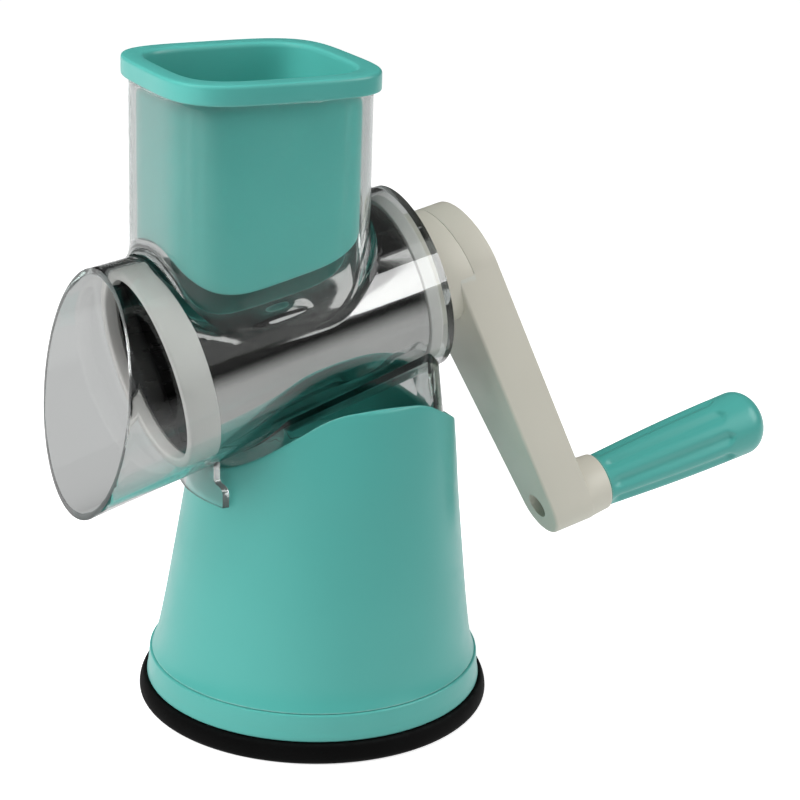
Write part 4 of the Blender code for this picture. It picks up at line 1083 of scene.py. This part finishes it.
# CAD nodes that keep their shape
keptLooks = [
    (zincSteel, ["plate_screw_1", "plate_screw_2", "plate_screw_3", "plate_screw_4", "cam_shaft", "lever_screw",
                 "hub_screw", "grip_spindle"]),
    (greyNylon, ["pull_stem", "drive_shaft"]),
    (whiteRing, ["rear_bush"]),
]
for look, nodes in keptLooks:
    for node in nodes:
        frame["nodes"][node].data.materials.clear()
        frame["nodes"][node].data.materials.append(look)
print("kept nodes finished")

# floor, cards, lamps and world
studio = {
    "floorColour": (0.88, 0.88, 0.88, 1), "floorGlow": 0.78, "seenThrough": 0.55,
    "fadeAlong": (-1.014, 2.175, 0.0), "fadeGain": 1.35,
    "worldLight": 0.175, "worldMirror": 0.02, "worldSeenThrough": 0.03,
    # name, azimuth, elevation, distance, width, height, level on a surface that faces it, seen in gloss
    "lamps": [("keyLamp", 180, 38, 1.10, 0.80, 0.80, 0.74, False),
              ("fillLamp", 328, 28, 1.20, 0.80, 0.80, 0.33, True),
              ("topLamp", 200, 75, 1.20, 0.60, 0.60, 0.38, False),
              ("junctionLamp", 297, 24, 1.20, 0.25, 0.70, 0.35, True)],
    "onlyFor": {"junctionLamp": "clear_housing_moulding"},
    # a white card that shows only in reflections and through the clear parts; corners are azimuth and elevation
    "card": {"strength": 1.0, "distance": 3.0, "thickness": 0.004,
             "corners": [(293.6, 5), (312, 3), (312, 60), (299, 55), (296, 38), (293.9, 22)]},
    "middle": Vector((0.0, 0.0, 0.12)), "floorHalf": 6, "floorTop": -0.00005, "floorDepth": -0.01,
}


def around(azimuth, elevation, distance):
    a, e = math.radians(azimuth), math.radians(elevation)
    level = math.cos(e)
    return studio["middle"] + distance * Vector((level * math.cos(a), level * math.sin(a), math.sin(e)))


def glowing(tree, strength):
    node = tree.nodes.new("ShaderNodeEmission")
    if isinstance(strength, float):
        node.inputs["Strength"].default_value = strength
    else:
        tree.links.new(strength, node.inputs["Strength"])
    return node.outputs[0]


def chosen(tree, share, off, on):
    node = tree.nodes.new("ShaderNodeMixShader")
    tree.links.new(share, node.inputs[0])
    tree.links.new(off, node.inputs[1])
    tree.links.new(on, node.inputs[2])
    return node.outputs[0]


def bareTree(owner, ending):
    # the owner's node tree with nothing in it but its output
    owner.use_nodes = True
    owner.node_tree.nodes.clear()
    return owner.node_tree, owner.node_tree.nodes.new(ending)


floorMaterial = bpy.data.materials.new("paleFloor")
tree, output = bareTree(floorMaterial, "ShaderNodeOutputMaterial")
path = tree.nodes.new("ShaderNodeLightPath")
plain = tree.nodes.new("ShaderNodeBsdfDiffuse")
plain.inputs["Color"].default_value = studio["floorColour"]
both = tree.nodes.new("ShaderNodeAddShader")
tree.links.new(plain.outputs[0], both.inputs[0])
tree.links.new(glowing(tree, studio["floorGlow"]), both.inputs[1])
# in mirrors and through the clear parts the floor's light fades away towards the front right
coordinates = tree.nodes.new("ShaderNodeTexCoord")
along = tree.nodes.new("ShaderNodeVectorMath")
along.operation = "DOT_PRODUCT"
tree.links.new(coordinates.outputs["Object"], along.inputs[0])
along.inputs[1].default_value = studio["fadeAlong"]
fade = math2(tree, "MULTIPLY", math2(tree, "EXPONENT", along.outputs["Value"], 0.0), studio["fadeGain"])
mirrored = glowing(tree, math2(tree, "MINIMUM", fade, 1.0))
seenThrough = glowing(tree, math2(tree, "MINIMUM", fade, studio["seenThrough"]))
surface = chosen(tree, path.outputs["Is Glossy Ray"], plain.outputs[0], mirrored)
surface = chosen(tree, path.outputs["Is Transmission Ray"], surface, seenThrough)
surface = chosen(tree, path.outputs["Is Camera Ray"], surface, both.outputs[0])
bounced = math2(tree, "GREATER_THAN", path.outputs["Diffuse Depth"], 0.5)
surface = chosen(tree, bounced, surface, plain.outputs[0])
tree.links.new(surface, output.inputs["Surface"])
floor = prism("studioFloor", squareOutline(studio["floorHalf"]), studio["floorDepth"], studio["floorTop"])
floor.data.materials.append(floorMaterial)

world = bpy.data.worlds.new("studioWorld")
bpy.context.scene.world = world
tree, output = bareTree(world, "ShaderNodeOutputWorld")
path = tree.nodes.new("ShaderNodeLightPath")
levels = []
for strength in (studio["worldLight"], studio["worldMirror"], studio["worldSeenThrough"], 1.0):
    node = tree.nodes.new("ShaderNodeBackground")
    node.inputs["Color"].default_value = (1, 1, 1, 1)
    node.inputs["Strength"].default_value = strength
    levels.append(node.outputs[0])
surface = chosen(tree, path.outputs["Is Glossy Ray"], levels[0], levels[1])
surface = chosen(tree, path.outputs["Is Transmission Ray"], surface, levels[2])
surface = chosen(tree, path.outputs["Is Camera Ray"], surface, levels[3])
bounced = math2(tree, "GREATER_THAN", path.outputs["Diffuse Depth"], 0.5)
surface = chosen(tree, bounced, surface, levels[0])
tree.links.new(surface, output.inputs["Surface"])

for name, azimuth, elevation, distance, width, height, level, glossy in studio["lamps"]:
    lamp = bpy.data.lights.new(name, "AREA")
    lamp.shape = "ELLIPSE"
    lamp.size = width
    lamp.size_y = height
    lamp.energy = level * (math.pi * distance) ** 2
    item = bpy.data.objects.new(name, lamp)
    bpy.context.scene.collection.objects.link(item)
    item.location = around(azimuth, elevation, distance)
    item.visible_camera = False
    item.visible_glossy = glossy
    item.visible_transmission = False
    item.rotation_euler = (studio["middle"] - item.location).to_track_quat("-Z", "Y").to_euler()
    if name in studio["onlyFor"]:
        lit = bpy.data.collections.new(name + "Lit")
        lit.objects.link(bpy.data.objects[studio["onlyFor"][name]])
        item.light_linking.receiver_collection = lit

look = studio["card"]
cardMaterial = bpy.data.materials.new("streakCard")
tree, output = bareTree(cardMaterial, "ShaderNodeOutputMaterial")
tree.links.new(glowing(tree, look["strength"]), output.inputs["Surface"])
card = skin("streakCard", [[around(a, e, reach) for a, e in look["corners"]]
                           for reach in (look["distance"], look["distance"] + look["thickness"])], True, True)
card.data.materials.append(cardMaterial)
card.visible_camera = False
card.visible_diffuse = False
card.visible_shadow = False
card.visible_volume_scatter = False

# camera
view = {"place": (-0.3573, -0.7329, 0.4032), "right": (0.8862, -0.4623, 0.0307),
        "forward": (0.4458, 0.8327, -0.3284), "lens": 102.645, "sensor": 36.0, "near": 0.01, "far": 50}
forward = Vector(view["forward"]).normalized()
right = Vector(view["right"])
right = (right - forward * right.dot(forward)).normalized()
up = right.cross(forward)
camera = bpy.data.objects.new("camera", bpy.data.cameras.new("camera"))
camera.data.lens = view["lens"]
camera.data.sensor_width = view["sensor"]
camera.data.clip_start = view["near"]
camera.data.clip_end = view["far"]
turn = Matrix((right, up, -forward)).transposed()
camera.matrix_world = Matrix.Translation(view["place"]) @ turn.to_4x4()
bpy.context.scene.collection.objects.link(camera)
bpy.context.scene.camera = camera
bpy.context.scene.view_settings.view_transform = "Standard"
print("studio ready")
